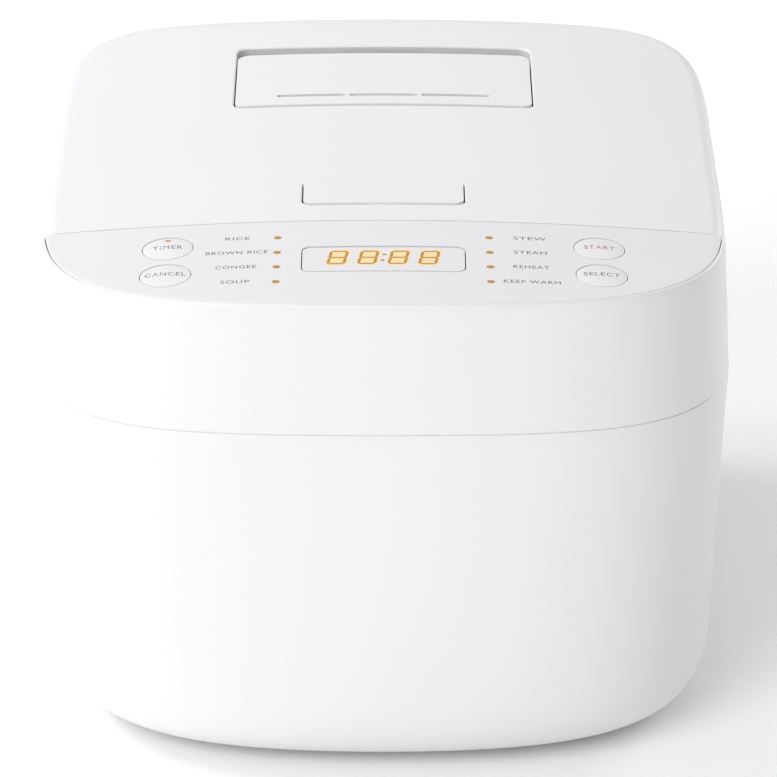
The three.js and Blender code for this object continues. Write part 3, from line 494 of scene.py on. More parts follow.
def wallProfile(low, high, inset, steps=40):
    # the outer wall between two levels, closely spaced round the bottom
    height, bottomSteps = form["bottomRoundHeight"], 24
    roundTop = form["bottomLevel"] + height
    levels = [low, high, form["wideLevel"]]
    turns = [i * math.pi / 2 / bottomSteps for i in range(bottomSteps + 1)]
    levels += [form["bottomLevel"] + height * (1 - math.cos(turn)) for turn in turns]
    levels += [roundTop + (high - roundTop) * i / steps for i in range(steps)]
    kept = []
    for z in sorted(z for z in levels if low <= z <= high):
        if not kept or z - kept[-1] > 0.02:
            kept.append(z)
    return [(halfWidthAt(z) - inset, z) for z in kept]


def quarterTurn(corner, radius, fromDegrees, toDegrees, steps=5):
    # points of an arc about a centre
    points = []
    for i in range(steps + 1):
        angle = math.radians(fromDegrees + (toDegrees - fromDegrees) * i / steps)
        points.append((corner[0] + radius * math.cos(angle), corner[1] + radius * math.sin(angle)))
    return points


def domeProfile(low, inset, drop, edge, foot=0.0):
    # from the axis at the bottom, up the wall, round the top edge and back to the axis
    high = form["crownLevel"] - drop
    rim = halfWidthAt(high - edge) - inset
    points = [(0.0, low)]
    if foot:
        corner = (halfWidthAt(low) - inset - foot, low + foot)
        points += quarterTurn(corner, foot, -90, 0)
    else:
        points.append((halfWidthAt(low) - inset, low))
    steps = 12
    for i in range(1, steps + 1):
        z = low + foot + (high - edge - low - foot) * i / steps
        points.append((halfWidthAt(z) - inset, z))
    points += quarterTurn((rim - edge, high - edge), edge, 0, 90, 10)[1:]
    points += [((rim - edge) * (1 - i / 30), high) for i in range(1, 31)]
    return points


# a cutter's reach in mm, and the levels that one through the lid or the panel runs between
halfSpace = 300.0
through = (150, 250)
# how finely a long side of a lipped prism is split, and how far its walls rise over the crown
prismSteps, longSide, prismRise = 24, 8.0, 5.0


def lippedPrism(width, front, rear, radii, low, lip, outward):
    # an upright prism whose walls turn in a small arc into the crowned surface: outward for
    # a hole with a rounded lip, inward for a piece with a rounded edge
    turns = [math.radians(a) for a in (0, 20, 40, 60, 80)]
    steps = [(0.0, None)] + [(lip * (1 - math.cos(t)), lip * (1 - math.sin(t))) for t in turns]
    steps.append((steps[-1][0], -prismRise))
    rings = []
    for offset, depth in steps:
        grow = offset if outward else -offset
        corner = [max(r + grow, 0.2) for r in radii]
        outline = roundedOutline(width + 2 * grow, front - grow, rear + grow, corner, 10)
        dense = []
        for (ax, ay), (bx, by) in zip(outline, outline[1:] + outline[:1]):
            # long sides are split, so that they follow the crown; every ring splits the same ones
            count = prismSteps if math.hypot(bx - ax, by - ay) > longSide else 1
            dense += [(ax + (bx - ax) * i / count, ay + (by - ay) * i / count) for i in range(count)]
        rings.append([(x * mm, y * mm, (low if depth is None else crownAt(x) - depth) * mm)
                      for x, y in dense])
    return ringsMesh("lipped", rings, True)


def behindPlane(y, corner=0.0, floor=None):
    # everything behind a plane across the housing, with a round lower corner where it meets a floor
    if floor is None:
        outline = [(y, -halfSpace), (halfSpace, -halfSpace), (halfSpace, halfSpace), (y, halfSpace)]
    else:
        outline = [(halfSpace, floor), (halfSpace, halfSpace), (y, halfSpace)]
        outline += quarterTurn((y + corner, floor + corner), corner, 180, 270, 8)
    return prismMesh("space", outline, -halfSpace, halfSpace, "yz")


def beforePlane(y):
    outline = [(-halfSpace, -halfSpace), (y, -halfSpace), (y, halfSpace), (-halfSpace, halfSpace)]
    return prismMesh("space", outline, -halfSpace, halfSpace, "yz")


def hingeRoom(fromX, toX, radius=7.8):
    return turnAlongX(rodMesh(radius, fromX, toX, 64), hingeY, hingeZ)


# ---- lower and upper housing ----

shell = {
    "wall": 2.5, "upperWall": 3.1, "edge": 0.3, "seamGap": 0.3, "tongue": 0.4, "bead": 0.9,
    "beadEdge": 0.6, "inletGap": 0.3, "inletCorner": 3, "seamCrownStart": 100.0,
    "opening": 88.3, "ledge": 2.5, "seamHalf": 0.3, "rearCorner": 5.0,
    "hinge": {"half": 30.2, "near": 28.5, "far": 60.3, "front": 15.0, "below": 11.6},
}


def makeLowerHousing():
    low = form["bottomLevel"]
    top = form["seamLevel"] - shell["seamGap"] / 2
    edge = shell["edge"]
    opening = shell["opening"]
    outer = wallProfile(low, top - edge, 0)
    rim = halfWidthAt(top - edge)
    profile = [(opening + 0.3, low), *outer, *quarterTurn((rim - edge, top - edge), edge, 0, 90)[1:]]
    profile += [(rim - shell["tongue"], top), (rim - shell["tongue"], top + shell["seamGap"] - 0.03)]
    inner = wallProfile(low + shell["wall"], top, shell["wall"], 12)
    inner.append((inner[-1][0], top + shell["seamGap"] - 0.03))
    profile += list(reversed(inner))
    profile += [(opening, low + shell["wall"]), (opening, low + 0.3), (opening + 0.3, low)]
    crown = {"Crown start": shell["seamCrownStart"] * mm, "Crown level": form["seamLevel"] * mm,
             "Rear fall": 0.0}
    piece = outlined("lowerShell", profile, mouldedPolypropylene, settings=crown)
    source = piece.data.copy()
    inletLow, inletHigh, place = boxOf("power_inlet")
    gap = shell["inletGap"]
    hole = roundedOutline(inletHigh[0] - inletLow[0] + 2 * gap, inletLow[2] - gap, inletHigh[2] + gap,
                          (shell["inletCorner"], shell["inletCorner"]))
    cutter = prismMesh("hole", [(x + place[0], z) for x, z in hole], -(inletLow[1] - 5), -halfSpace)
    cutter.transform(Matrix.Rotation(math.pi / 2, 4, "X"))
    combined(piece, [cutter])
    return finished(piece, "root", "shell_plastic", "lower_housing", source=source)


def makeUpperHousing():
    low = form["seamLevel"] + shell["seamGap"] / 2
    edge = shell["edge"]
    crown = form["crownLevel"]
    bead = shell["beadEdge"]
    rim = halfWidthAt(crown)
    ledge = crown - shell["ledge"]
    profile = [(halfWidthAt(low) - shell["upperWall"], low), (halfWidthAt(low) - edge, low)]
    profile += quarterTurn((halfWidthAt(low) - edge, low + edge), edge, -90, 0)[1:]
    steps = 16
    for i in range(1, steps + 1):
        z = low + edge + (crown - bead - low - edge) * i / steps
        profile.append((halfWidthAt(z), z))
    profile += quarterTurn((rim - bead, crown - bead), bead, 0, 90)[1:]
    inside = rim - shell["bead"] - 0.1
    profile += quarterTurn((inside + 0.3, crown - 0.3), 0.3, 90, 180, 4) + [(inside, ledge)]
    profile += [(rim - shell["upperWall"], ledge),
                (halfWidthAt(form["partingLevel"]) - shell["upperWall"], form["partingLevel"])]
    profile.append(profile[0])
    piece = outlined("upperShell", profile, mouldedPolypropylene, settings={"Least share": 1.0})
    source = piece.data.copy()
    room = shell["hinge"]
    cuts = [behindPlane(seamY - shell["seamHalf"], shell["rearCorner"], form["partingLevel"])]
    cuts.append(hingeRoom(-room["half"], room["half"]))
    for side in (-1, 1):
        ends = sorted((side * room["near"], side * room["far"]))
        cuts.append(boxMesh("notch", (ends[0], hingeY - room["front"], hingeZ - room["below"]),
                            (ends[1], halfSpace, halfSpace)))
    combined(piece, cuts)
    return finished(piece, "root", "shell_plastic", "upper_housing", source=source)


makeLowerHousing()
makeUpperHousing()
print("housing made")

# ---- control panel ----

panel = {
    "thickness": 2.2, "edge": 0.6, "gap": 0.4, "windowSink": 0.12,
    "lights": {"x": 40.0, "rows": (61.7, 48.2, 35.1, 21.8), "radius": 1.5},
    "window": {"width": 61.4, "depth": 22.3, "row": 41.35, "corner": 3.6, "groove": 0.4,
               "frontGroove": 1.1},
    "keys": {"radius": 9.5, "x": 81.5, "rows": (31.2, 55.7), "gap": 0.28, "frontGap": 0.75, "rise": 0.85,
             "sink": 0.05, "edge": 0.15, "lampRow": 62.0, "lampRadius": 1.22},
}


def slopedKeyPlace(x, row):
    return Matrix.Translation((x * mm, (panelFrontY + row) * mm, crownAt(x) * mm)) @ Matrix.Rotation(
        math.atan(x / form["crownRadius"]), 4, "Y")


def makePanel():
    rim = halfWidthAt(form["crownLevel"]) - shell["bead"] - 0.1 - panel["gap"]
    top = form["crownLevel"]
    edge = panel["edge"]
    shares = (0.0, 0.15, 0.3, 0.45, 0.6, 0.75, 0.9, 0.98)
    profile = [((rim - edge) * share, top - panel["thickness"]) for share in shares]
    profile += [(rim, top - panel["thickness"])]
    profile += quarterTurn((rim - edge, top - edge), edge, 0, 90)
    profile += [((rim - edge) * share, top) for share in reversed(shares)]
    piece = outlined("panelPlate", profile, satinPanelAbs)
    source = piece.data.copy()
    combined(piece, [beforePlane(seamY - shell["seamHalf"])], "INTERSECT")
    cuts = []
    keys = panel["keys"]
    for x in (-keys["x"], keys["x"]):
        for row in keys["rows"]:
            # the clearance is wider before and behind the key than beside it
            wide, deep = keys["radius"] + keys["gap"], keys["radius"] + keys["frontGap"]
            turns = [2 * math.pi * i / 96 for i in range(96)]
            hole = [(x + wide * math.cos(a), panelFrontY + row + deep * math.sin(a)) for a in turns]
            cuts.append(prismMesh("hole", hole, *through))
    lights = panel["lights"]
    for x in (-lights["x"], lights["x"]):
        for row in lights["rows"]:
            cuts.append(rodMesh(lights["radius"], *through, 32, (x, panelFrontY + row)))
    window = panel["window"]
    y = panelFrontY + window["row"]
    grow, reach = window["groove"] / 2, window["depth"] / 2
    deep = window["frontGroove"] / 2
    corners = (window["corner"] + grow, window["corner"] + grow)
    outline = roundedOutline(window["width"] + 2 * grow, y - reach - deep, y + reach + deep, corners, 12)
    cuts.append(prismMesh("hole", outline, *through))
    combined(piece, cuts)
    finished(piece, "root", "panel_plastic", "control_panel", degrees=25, source=source)
    sink = panel["windowSink"]
    pane = outlined("displayPane", [(r, z - sink) for r, z in profile], satinPanelAbs)
    corners = (window["corner"] - grow, window["corner"] - grow)
    outline = roundedOutline(window["width"] - 2 * grow, y - reach + deep, y + reach - deep, corners, 12)
    combined(pane, [prismMesh("cut", outline, *through)], "INTERSECT")
    source.transform(Matrix.Translation((0, 0, -sink * mm)))
    finished(pane, "root", "panel_plastic", "display_window", degrees=25, source=source)


def makeKeys():
    keys = panel["keys"]
    names = (("timer", -1, 1), ("cancel", -1, 0), ("start", 1, 1), ("select", 1, 0))
    for name, side, rowIndex in names:
        x = side * keys["x"]
        radius = keys["radius"]
        edge = keys["edge"]
        sink = keys["sink"]
        profile = [(0, -3.0), (radius - 0.3, -3.0), (radius, -2.7)]
        profile += quarterTurn((radius - edge, -sink - edge), edge, 0, 80, 5)
        inner = radius - edge * (1 - math.cos(math.radians(80)))
        for i in range(1, 13):
            share = 1 - i / 12
            profile.append((inner * share, keys["rise"] * (1 - share * share) - sink))
        mesh = revolvedMesh(name, profile, 96)
        mesh.transform(slopedKeyPlace(x, keys["rows"][rowIndex]))
        piece = linkObject(name + "KeyCap", mesh, [satinKeyAbs])
        if name == "timer":
            row, lampRadius = keys["lampRow"], keys["lampRadius"]
            combined(piece, [rodMesh(lampRadius + 0.03, *through, 32, (x, panelFrontY + row))])
            lamp = linkObject("timerLamp", lensMesh(x, row, lampRadius, -0.05), [amberLightGuide])
            finished(lamp, "timer_key", "amber_lamp", "timer_light")
        finished(piece, name + "_key", "key_plastic", name + "_button")


def lensMesh(x, row, radius, sink):
    # a small domed light guide, let into the surface
    top = crownAt(x) - sink
    profile = [(0, top - 3), (radius, top - 3), (radius, top - 0.2)]
    profile += [(radius * share, top + 0.18 * (1 - share * share)) for share in (0.92, 0.75, 0.5, 0.25, 0.0)]
    return revolvedMesh("lens", profile, 32, (x, panelFrontY + row))


def makeCopiesTree():
    # one small part repeated on a set of points
    tree, start = startTree("repeatedPart", {"Part": ("Object", None), "Scale": ("Float", 1.0)})
    part = addNode(tree, "GeometryNodeObjectInfo", links={"Object": start["Part"]})
    spread = addNode(tree, "GeometryNodeInstanceOnPoints",
                     links={"Points": start["Geometry"], "Instance": part.outputs["Geometry"],
                            "Scale": start["Scale"]})
    return endTree(tree, start, spread)


copiesTree = makeCopiesTree()


def copied(name, part, points, material):
    # the part is made about the origin; the points are in mm
    partObject = linkObject("part", part, [material])
    bm = bmesh.new()
    for point in points:
        bm.verts.new([v * mm for v in point])
    holder = linkObject(name, meshFrom(name, bm), [material])
    spread = holder.modifiers.new("spread", "NODES")
    spread.node_group = copiesTree
    spread[socketId(copiesTree, "Part")] = partObject
    spread[socketId(copiesTree, "Finish")] = material
    bakeModifiers(holder)
    bpy.data.objects.remove(partObject)
    return holder


def makeLights():
    lights = panel["lights"]
    lens = lensMesh(0, 0, lights["radius"] - 0.05, 0)
    lens.transform(Matrix.Translation((0, -panelFrontY * mm, -form["crownLevel"] * mm)))
    columns = (-lights["x"], lights["x"])
    points = [(x, panelFrontY + row, crownAt(x) - 0.1) for x in columns for row in lights["rows"]]
    piece = copied("indicatorLenses", lens, points, amberLightGuide)
    finished(piece, "root", "amber_lamp", *[f"indicator_light_{i}" for i in range(1, 9)])


legend = {
    "capHeight": 2.7, "keyCapHeight": 3.0, "lift": 0.02, "x": 55.3, "spacing": 1.12,
    "rows": (62.0, 49.1, 36.0, 22.7), "keyRows": (31.0, 55.2),
    "left": (("RICE", 9.2), ("BROWN RICE", 23.3), ("CONGEE", 15.2), ("SOUP", 10.7)),
    "right": (("STEW", 12.3), ("STEAM", 12.4), ("REHEAT", 13.5), ("KEEP WARM", 21.2)),
    "keys": (("TIMER", -1, 1, 11.3), ("CANCEL", -1, 0, 15.2), ("START", 1, 1, 11.6),
             ("SELECT", 1, 0, 13.6)),
}


def wordMesh(text, width, height, x, y):
    # a printed word, fitted to a width and a cap height, lying on the panel
    curve = bpy.data.curves.new("word", "FONT")
    curve.body = text
    curve.align_x = "CENTER"
    curve.space_character = legend["spacing"]
    curve.extrude = 0.0001
    holder = bpy.data.objects.new("word", curve)
    scene.collection.objects.link(holder)
    bpy.context.view_layer.update()
    graph = bpy.context.evaluated_depsgraph_get()
    mesh = bpy.data.meshes.new_from_object(holder.evaluated_get(graph), depsgraph=graph)
    bpy.data.objects.remove(holder)
    xs = [v.co.x for v in mesh.vertices]
    ys = [v.co.y for v in mesh.vertices]
    scaleX = width * mm / (max(xs) - min(xs))
    scaleY = height * mm / (max(ys) - min(ys))
    shiftX = x * mm - (max(xs) + min(xs)) / 2 * scaleX
    shiftY = y * mm - (max(ys) + min(ys)) / 2 * scaleY
    for v in mesh.vertices:
        upper = v.co.z > 0
        v.co = (v.co.x * scaleX + shiftX, v.co.y * scaleY + shiftY, 0)
        v.co.z = (crownAt(v.co.x / mm) + (legend["lift"] if upper else -0.03)) * mm
    return mesh


def makeLegends():
    words = []
    for side, column in ((-1, legend["left"]), (1, legend["right"])):
        for (text, width), row in zip(column, legend["rows"]):
            place = (side * legend["x"], panelFrontY + row)
            words.append(wordMesh(text, width, legend["capHeight"], *place))
    piece = joined("panelLegends", words, [greyPrintInk])
    carry(piece, "root", "panel_plastic")
    keys = panel["keys"]
    for text, side, rowIndex, width in legend["keys"]:
        x = side * keys["x"]
        mesh = wordMesh(text, width, legend["keyCapHeight"], x, panelFrontY + legend["keyRows"][rowIndex])
        for v in mesh.vertices:
            # the word follows the key's dome
            middle = panelFrontY + keys["rows"][rowIndex]
            away = min(math.hypot(v.co.x / mm - x, v.co.y / mm - middle) / keys["radius"], 1)
            level = crownAt(x) - (v.co.x / mm - x) * x / form["crownRadius"]
            top = level + keys["rise"] * (1 - away * away) - keys["sink"]
            v.co.z = (top + (legend["lift"] if v.co.z / mm > crownAt(v.co.x / mm) else -0.04)) * mm
        ink = redPrintInk if text == "START" else greyPrintInk
        word = linkObject(text.lower() + "KeyWord", mesh, [ink])
        carry(word, text.lower() + "_key", "key_plastic")


display = {
    "digitWidth": 7.1, "digitHeight": 12.2, "slant": 0.13, "stroke": 1.1, "gap": 0.08,
    "centres": (-17.2, -5.7, 5.7, 17.2), "row": 42.6, "colonRadius": 0.75, "lift": -0.09,
    "haloGrow": 0.6, "haloCorner": 1.2, "colonHeight": 2.6,
}


def segmentOutline(fromPoint, toPoint, stroke):
    # a bar with pointed ends
    start, end = Vector(fromPoint), Vector(toPoint)
    direction = (end - start).normalized()
    side = Vector((-direction.y, direction.x)) * stroke / 2
    tip = direction * stroke / 2
    return [start, start + tip + side, end - tip + side, end, end - tip - side, start + tip - side]


def flatPiece(name, outlines, level, material):
    # thin printed or lit shapes on the panel, and painted glow, slightly thick so that they are closed
    meshes = []
    for outline in outlines:
        rings = [[(x * mm, y * mm, (crownAt(x) + lift) * mm) for x, y in outline]
                 for lift in (level - 0.05, level)]
        meshes.append(ringsMesh("flat", rings))
    return joined(name, meshes, [material])


def makeDisplay():
    halfW, halfH = display["digitWidth"] / 2, display["digitHeight"] / 2
    stroke, gap = display["stroke"], display["gap"]
    y0 = panelFrontY + display["row"]
    inW, inH = halfW - stroke / 2, halfH - stroke / 2
    bars = [((-inW, h), (inW, h)) for h in (-inH, 0, inH)]
    bars += [((w, low), (w, low + inH)) for w in (-inW, inW) for low in (-inH, 0)]
    segments = []
    fields = []
    halos = []

    def slanted(point, centre):
        return (centre + point[0] + point[1] * display["slant"], y0 + point[1])

    for centre in display["centres"]:
        for start, end in bars:
            direction = (Vector(end) - Vector(start)).normalized() * gap
            outline = segmentOutline(Vector(start) + direction, Vector(end) - direction, stroke)
            segments.append([slanted(p, centre) for p in outline])
        fields.append([slanted(p, centre) for p in ((-inW, -inH), (inW, -inH), (inW, inH), (-inW, inH))])
        grow, corner = display["haloGrow"], display["haloCorner"]
        halo = roundedOutline(2 * (halfW + grow), -halfH - 2 * grow, halfH + 2 * grow, (corner, corner), 5)
        halos.append([slanted(p, centre) for p in halo])
    radius, turns = display["colonRadius"], [a / 8 * math.pi for a in range(16)]
    for h in (-display["colonHeight"], display["colonHeight"]):
        dot = [(radius * math.cos(turn), radius * math.sin(turn)) for turn in turns]
        segments.append([slanted((x, y + h), 0) for x, y in dot])
    lift = display["lift"]
    # the fields inside the digits and the halos round them are pale warm colour, painted glow of the lit
    # segments
    for name, outlines, level, material in (("displaySegments", segments, lift + 0.04, amberLightGuide),
                                            ("displayFields", fields, lift + 0.02, warmPaintedGlowField),
                                            ("displayHalos", halos, lift, amberPaintedGlowHalo)):
        carry(flatPiece(name, outlines, level, material), "root", "amber_lamp")


makePanel()
makeKeys()
makeLights()
makeLegends()
makeDisplay()
print("panel made")

# ---- lid ----

lid = {
    "low": 168.0, "step": 0.6, "wall": 2.5, "edge": 5.45, "foot": 0.4, "rearCorner": 4.6, "skin": 2.6,
    "vent": {"width": 120.6, "rows": (191.0, 255.0), "capDepth": 55.5, "corners": (4.0, 5.0),
             "depth": 12.0, "gap": 0.55, "frontGap": 1.8, "lip": 0.9, "edge": 0.15, "under": 2.6,
             "sheet": 2.0},
    "duct": {"radius": 9.3, "row": 217.4},
    "release": {"width": 62.8, "rows": (92.2, 112.5), "corner": 4.0, "gap": 0.5, "frontGap": 1.6,
                "rearGap": 0.15, "lip": 0.8, "edge": 0.15, "depth": 8.0, "keyDepth": 2.7,
                "ribHalf": (6.0, 1.5), "ribRow": 94.4},
    "slits": {"row": 202.0, "width": 2.3, "length": 27.6, "spacing": 29.1, "corner": 0.9},
    "hinge": {"near": 28.2, "far": 61.0, "notch": 28.5, "front": 8.8, "top": 175.6},
}


def lidY(row):
    return panelFrontY + row


def makeLid():
    piece = outlined("lidShell", domeProfile(lid["low"], lid["step"], 0, lid["edge"], lid["foot"]),
                     mouldedPolypropylene)
    source = piece.data.copy()
    seam = seamY + shell["seamHalf"]
    combined(piece, [behindPlane(seam, lid["rearCorner"], lid["low"])], "INTERSECT")
    hollow = outlined("hollow", domeProfile(lid["low"] - 5, lid["step"] + lid["wall"], lid["wall"], 4.0),
                      mouldedPolypropylene, 128)
    combined(hollow, [behindPlane(seam + lid["wall"])], "INTERSECT")
    combined(piece, [meshOf(hollow)])
    vent = lid["vent"]
    front, rear = lidY(vent["rows"][0]), lidY(vent["rows"][1])
    floor = form["crownLevel"] - vent["depth"]
    tray = roundedOutline(vent["width"] + 4, front - 2, rear + 2, (6, 7), 10)
    combined(piece, [prismMesh("tray", tray, floor - 2, form["crownLevel"] - lid["skin"])], "UNION")
    cuts = [lippedPrism(vent["width"], front, rear, vent["corners"], floor, vent["lip"], True)]
    cuts.append(rodMesh(lid["duct"]["radius"], 0, through[1], 64, (0, lidY(lid["duct"]["row"]))))
    release = lid["release"]
    cuts.append(lippedPrism(release["width"], lidY(release["rows"][0]),
                            lidY(release["rows"][1]) + release["rearGap"], (release["corner"], 0.5),
                            form["crownLevel"] - release["depth"], release["lip"], True))
    room = lid["hinge"]
    for side in (-1, 1):
        cuts.append(hingeRoom(*sorted((side * room["near"], side * room["far"]))))
    cuts.append(boxMesh("notch", (-room["notch"], hingeY - room["front"], 100),
                        (room["notch"], halfSpace, room["top"])))
    combined(piece, cuts)
    smoothByAngle(piece, 28, source)
    # the walls and floor of the vent tray take the darker material, which is painted shade of the recess
    piece.data.materials.clear()
    piece.data.materials.append(mouldedPolypropylene)
    piece.data.materials.append(trayPaintedShadePolypropylene)
    for face in piece.data.polygons:
        x, y, z = face.center / mm
        inside = abs(x) < vent["width"] / 2 + 0.05 and front - 0.05 < y < rear + 0.05
        face.material_index = 1 if inside and z < crownAt(x) - vent["lip"] else 0
    return carry(piece, "lid", "shell_plastic", "lid_cover")


def crownSkin(name, low, drop, material):
    # a block under the crown, for pieces that lie flush with the lid
    return outlined(name, domeProfile(low, 0, drop, 0.5), material, 128)


def makeReleaseKey():
    release = lid["release"]
    front, rear = lidY(release["rows"][0]), lidY(release["rows"][1])
    piece = crownSkin("releaseKey", form["crownLevel"] - 6, 0.0, mouldedPolypropylene)
    source = piece.data.copy()
    width = release["width"] - 2 * release["gap"]
    combined(piece, [lippedPrism(width, front + release["frontGap"], rear, (release["corner"], 0.5),
                                 form["crownLevel"] - release["keyDepth"], release["edge"], False)],
             "INTERSECT")
    halfX, halfY = release["ribHalf"]
    ribY, ribLow = lidY(release["ribRow"]), boxOf("release_button")[0][2]
    rib = boxMesh("rib", (-halfX, ribY - halfY, ribLow), (halfX, ribY + halfY, form["crownLevel"] - 1.5))
    combined(piece, [rib], "UNION")
    return finished(piece, "lid_release", "shell_plastic", "release_button", degrees=28, source=source)


def makeVentCap():
    vent = lid["vent"]
    front = lidY(vent["rows"][0]) + vent["frontGap"]
    rear = lidY(vent["rows"][0]) + vent["capDepth"]
    width = vent["width"] - 2 * vent["gap"]
    low = form["crownLevel"] - vent["depth"] + vent["under"]
    piece = crownSkin("ventCap", low - 4, 0.0, mouldedPolypropylene)
    source = piece.data.copy()
    combined(piece, [lippedPrism(width, front, rear, vent["corners"], low, vent["edge"], False)], "INTERSECT")
    sheet = vent["sheet"]
    inner = roundedOutline(width - 2 * sheet, front + sheet, rear - sheet, (2.5, 3.0), 8)
    hollow = crownSkin("hollow", low - 4, sheet + 0.2, mouldedPolypropylene)
    combined(hollow, [prismMesh("cut", inner, low - 2, through[1])], "INTERSECT")
    slits = lid["slits"]
    y = lidY(slits["row"])
    cuts = [meshOf(hollow)]
    for i in (-1, 0, 1):
        x = i * slits["spacing"]
        bar = roundedOutline(slits["length"], y - slits["width"] / 2, y + slits["width"] / 2,
                             (slits["corner"], slits["corner"]), 4)
        cuts.append(prismMesh("slit", [(px + x, py) for px, py in bar], low - 1, through[1]))
    combined(piece, cuts)
    return finished(piece, "steam_vent", "shell_plastic", "steam_cap", degrees=28, source=source)


makeLid()
makeReleaseKey()
makeVentCap()
print("lid made")

# ---- pot, inner lid and steam parts ----


pot = {
    "wall": 2.0, "lip": 7.0, "lipThickness": 1.5, "round": 24.0,
    "marks": 8, "firstMark": 30.0, "markStep": 9.5, "mark": (0.9, 9.0, 0.7),
}


# how far a drill about the origin reaches below and above
drillSpan = (-9, 9)


def turned(name, profile, turns, middle, material):
    return linkObject(name, revolvedMesh(name, profile, turns, middle[:2]), [material])


def makePot():
    # a spun bowl with a flat lip, and water level marks raised on its wall
    low, high, middle = boxOf("inner_pot")
    rim = (high[0] - low[0]) / 2
    bore = rim - pot["lip"]
    outer = bore + pot["wall"]
    under = high[2] - pot["lipThickness"]
    wide = pot["round"] + pot["wall"]
    half = pot["lipThickness"] / 2
    profile = [(0, low[2])] + quarterTurn((outer - wide, low[2] + wide), wide, 270, 360, 12)
    profile += [(outer, under - 0.4), (outer + 0.4, under)]
    profile += quarterTurn((rim - half, under + half), half, -90, 90, 8)
    profile += quarterTurn((bore + 1.2, high[2] - 1.2), 1.2, 90, 180, 5)
    floor = low[2] + pot["wall"]
    profile += quarterTurn((bore - pot["round"], floor + pot["round"]), pot["round"], 0, -90, 12)
    profile.append((0, floor))
    piece = turned("innerPot", profile, 160, middle, nonStickCoating)
    thick, long, tall = pot["mark"]
    bar = boxMesh("mark", (-thick / 2, -long / 2, -tall / 2), (thick / 2, long / 2, tall / 2), 0.2)
    levels = [floor + pot["firstMark"] + i * pot["markStep"] for i in range(pot["marks"])]
    marks = copied("marks", bar, [(middle[0] - bore + 0.1, middle[1], z) for z in levels], nonStickCoating)
    bm = bmesh.new()
    bm.from_mesh(piece.data)
    bm.from_mesh(meshOf(marks))
    bm.to_mesh(piece.data)
    finished(piece, "root", "pot_coating", "inner_pot")


innerLid = {
    "gasketWidth": 7.0, "ventHoles": 6, "ventRing": 9.5, "ventHole": 1.4, "embossed": (30.0, 62.0),
    "relief": 0.35, "outlet": 5.0, "sleeveWall": 2.5,
}


def makeInnerLid():
    low, high, middle = boxOf("lid_gasket")
    outer = (high[0] - low[0]) / 2
    inner = outer - innerLid["gasketWidth"]
    ring = [(inner + 0.5, low[2] + 0.4), (inner + 2.2, low[2] + 1.1), (inner + 2.8, low[2])]
    ring += [(outer - 1.2, low[2]), *quarterTurn((outer - 1, low[2] + 1), 1, 300, 360, 4)]
    ring += quarterTurn((outer - 0.8, high[2] - 0.8), 0.8, 0, 90, 4)
    ring += [(inner, high[2]), (inner, low[2] + 0.9)]
    gasket = turned("lidSeal", ring + ring[:1], 128, middle, siliconeRubber)
    finished(gasket, "lid", "silicone", "lid_gasket")
    low, high, middle = boxOf("inner_lid_plate")
    reach = (high[0] - low[0]) / 2
    near, away = innerLid["embossed"]
    sheet = high[2] - low[2]
    relief = innerLid["relief"]
    face = [(0, relief), (near - 3, relief), (near, 0.0), (away, 0.0), (away + 3, relief)]
    face += [(reach - 5, relief), (reach - 3, 0.0)]
    profile = [(r, low[2] + rise) for r, rise in face] + [(reach - 0.2, low[2]), (reach, low[2] + 0.2)]
    profile += [(reach, high[2] - 0.2), (reach - 0.2, high[2]), (0, high[2])]
    piece = turned("innerLidPlate", profile, 128, middle, spunAluminium)
    tube = boxOf("steam_sleeve")[2]
    sensor, sensorTop, sensorPlace = boxOf("lid_sensor")
    room = (sensorTop[0] - sensor[0]) / 2 + 0.3
    cuts = [rodMesh(innerLid["outlet"], 0, through[1], 48, tube[:2])]
    cuts.append(rodMesh(room, 0, through[1], 48, sensorPlace[:2]))
    points = []
    for i in range(innerLid["ventHoles"]):
        angle = 2 * math.pi * i / innerLid["ventHoles"]
        points.append((tube[0] + innerLid["ventRing"] * math.cos(angle),
                       tube[1] + innerLid["ventRing"] * math.sin(angle), low[2] + sheet / 2))
    drill = rodMesh(innerLid["ventHole"], *drillSpan, 20)
    cuts.append(meshOf(copied("drills", drill, points, spunAluminium)))
    combined(piece, cuts)
    finished(piece, "lid", "aluminium", "inner_lid_plate")
    low, high, middle = boxOf("steam_sleeve")
    outer = (high[0] - low[0]) / 2
    ring = [(outer - innerLid["sleeveWall"], low[2]), (outer, low[2])]
    count = int((high[2] - low[2]) / 2)
    for i in range(1, count):
        ring.append((outer - (0.5 if i % 2 else 0), low[2] + 2 * i))
    ring += [(outer, high[2]), (outer - innerLid["sleeveWall"], high[2])]
    sleeve = turned("steamSleeve", ring + ring[:1], 64, middle, siliconeRubber)
    finished(sleeve, "lid", "silicone", "steam_sleeve")


valve = {"plateGap": 0.3, "plate": 2.0, "tube": 9.0, "bore": 7.0, "cornerLess": 0.6}


def makeSteamValve():
    # the base plate of the vent cap, with the steam tube through it
    vent = lid["vent"]
    low, high, _ = boxOf("steam_valve")
    tube = boxOf("steam_sleeve")[2]
    plateLow = form["crownLevel"] - vent["depth"] + valve["plateGap"]
    corners = [corner - valve["cornerLess"] for corner in vent["corners"]]
    outline = roundedOutline(vent["width"] - 2 * vent["gap"], low[1] + 0.3, high[1] - 0.2, corners, 8)
    flat = prismMesh("steamValve", outline, plateLow, plateLow + valve["plate"])
    plate = linkObject("steamValve", flat, [mouldedPolypropylene])
    wide = valve["tube"]
    ring = [(0, low[2]), (wide - 0.4, low[2]), (wide, low[2] + 0.4), (wide, high[2] - 0.5)]
    ring += [(wide - 0.5, high[2]), (0, high[2])]
    combined(plate, [revolvedMesh("tube", ring, 64, tube[:2])], "UNION")
    combined(plate, [rodMesh(valve["bore"], 0, through[1], 64, tube[:2])])
    finished(plate, "steam_vent", "shell_plastic", "steam_valve")


spring = {"radius": 7.0, "turns": 4, "steps": 160, "sides": 12, "travel": 2.0}


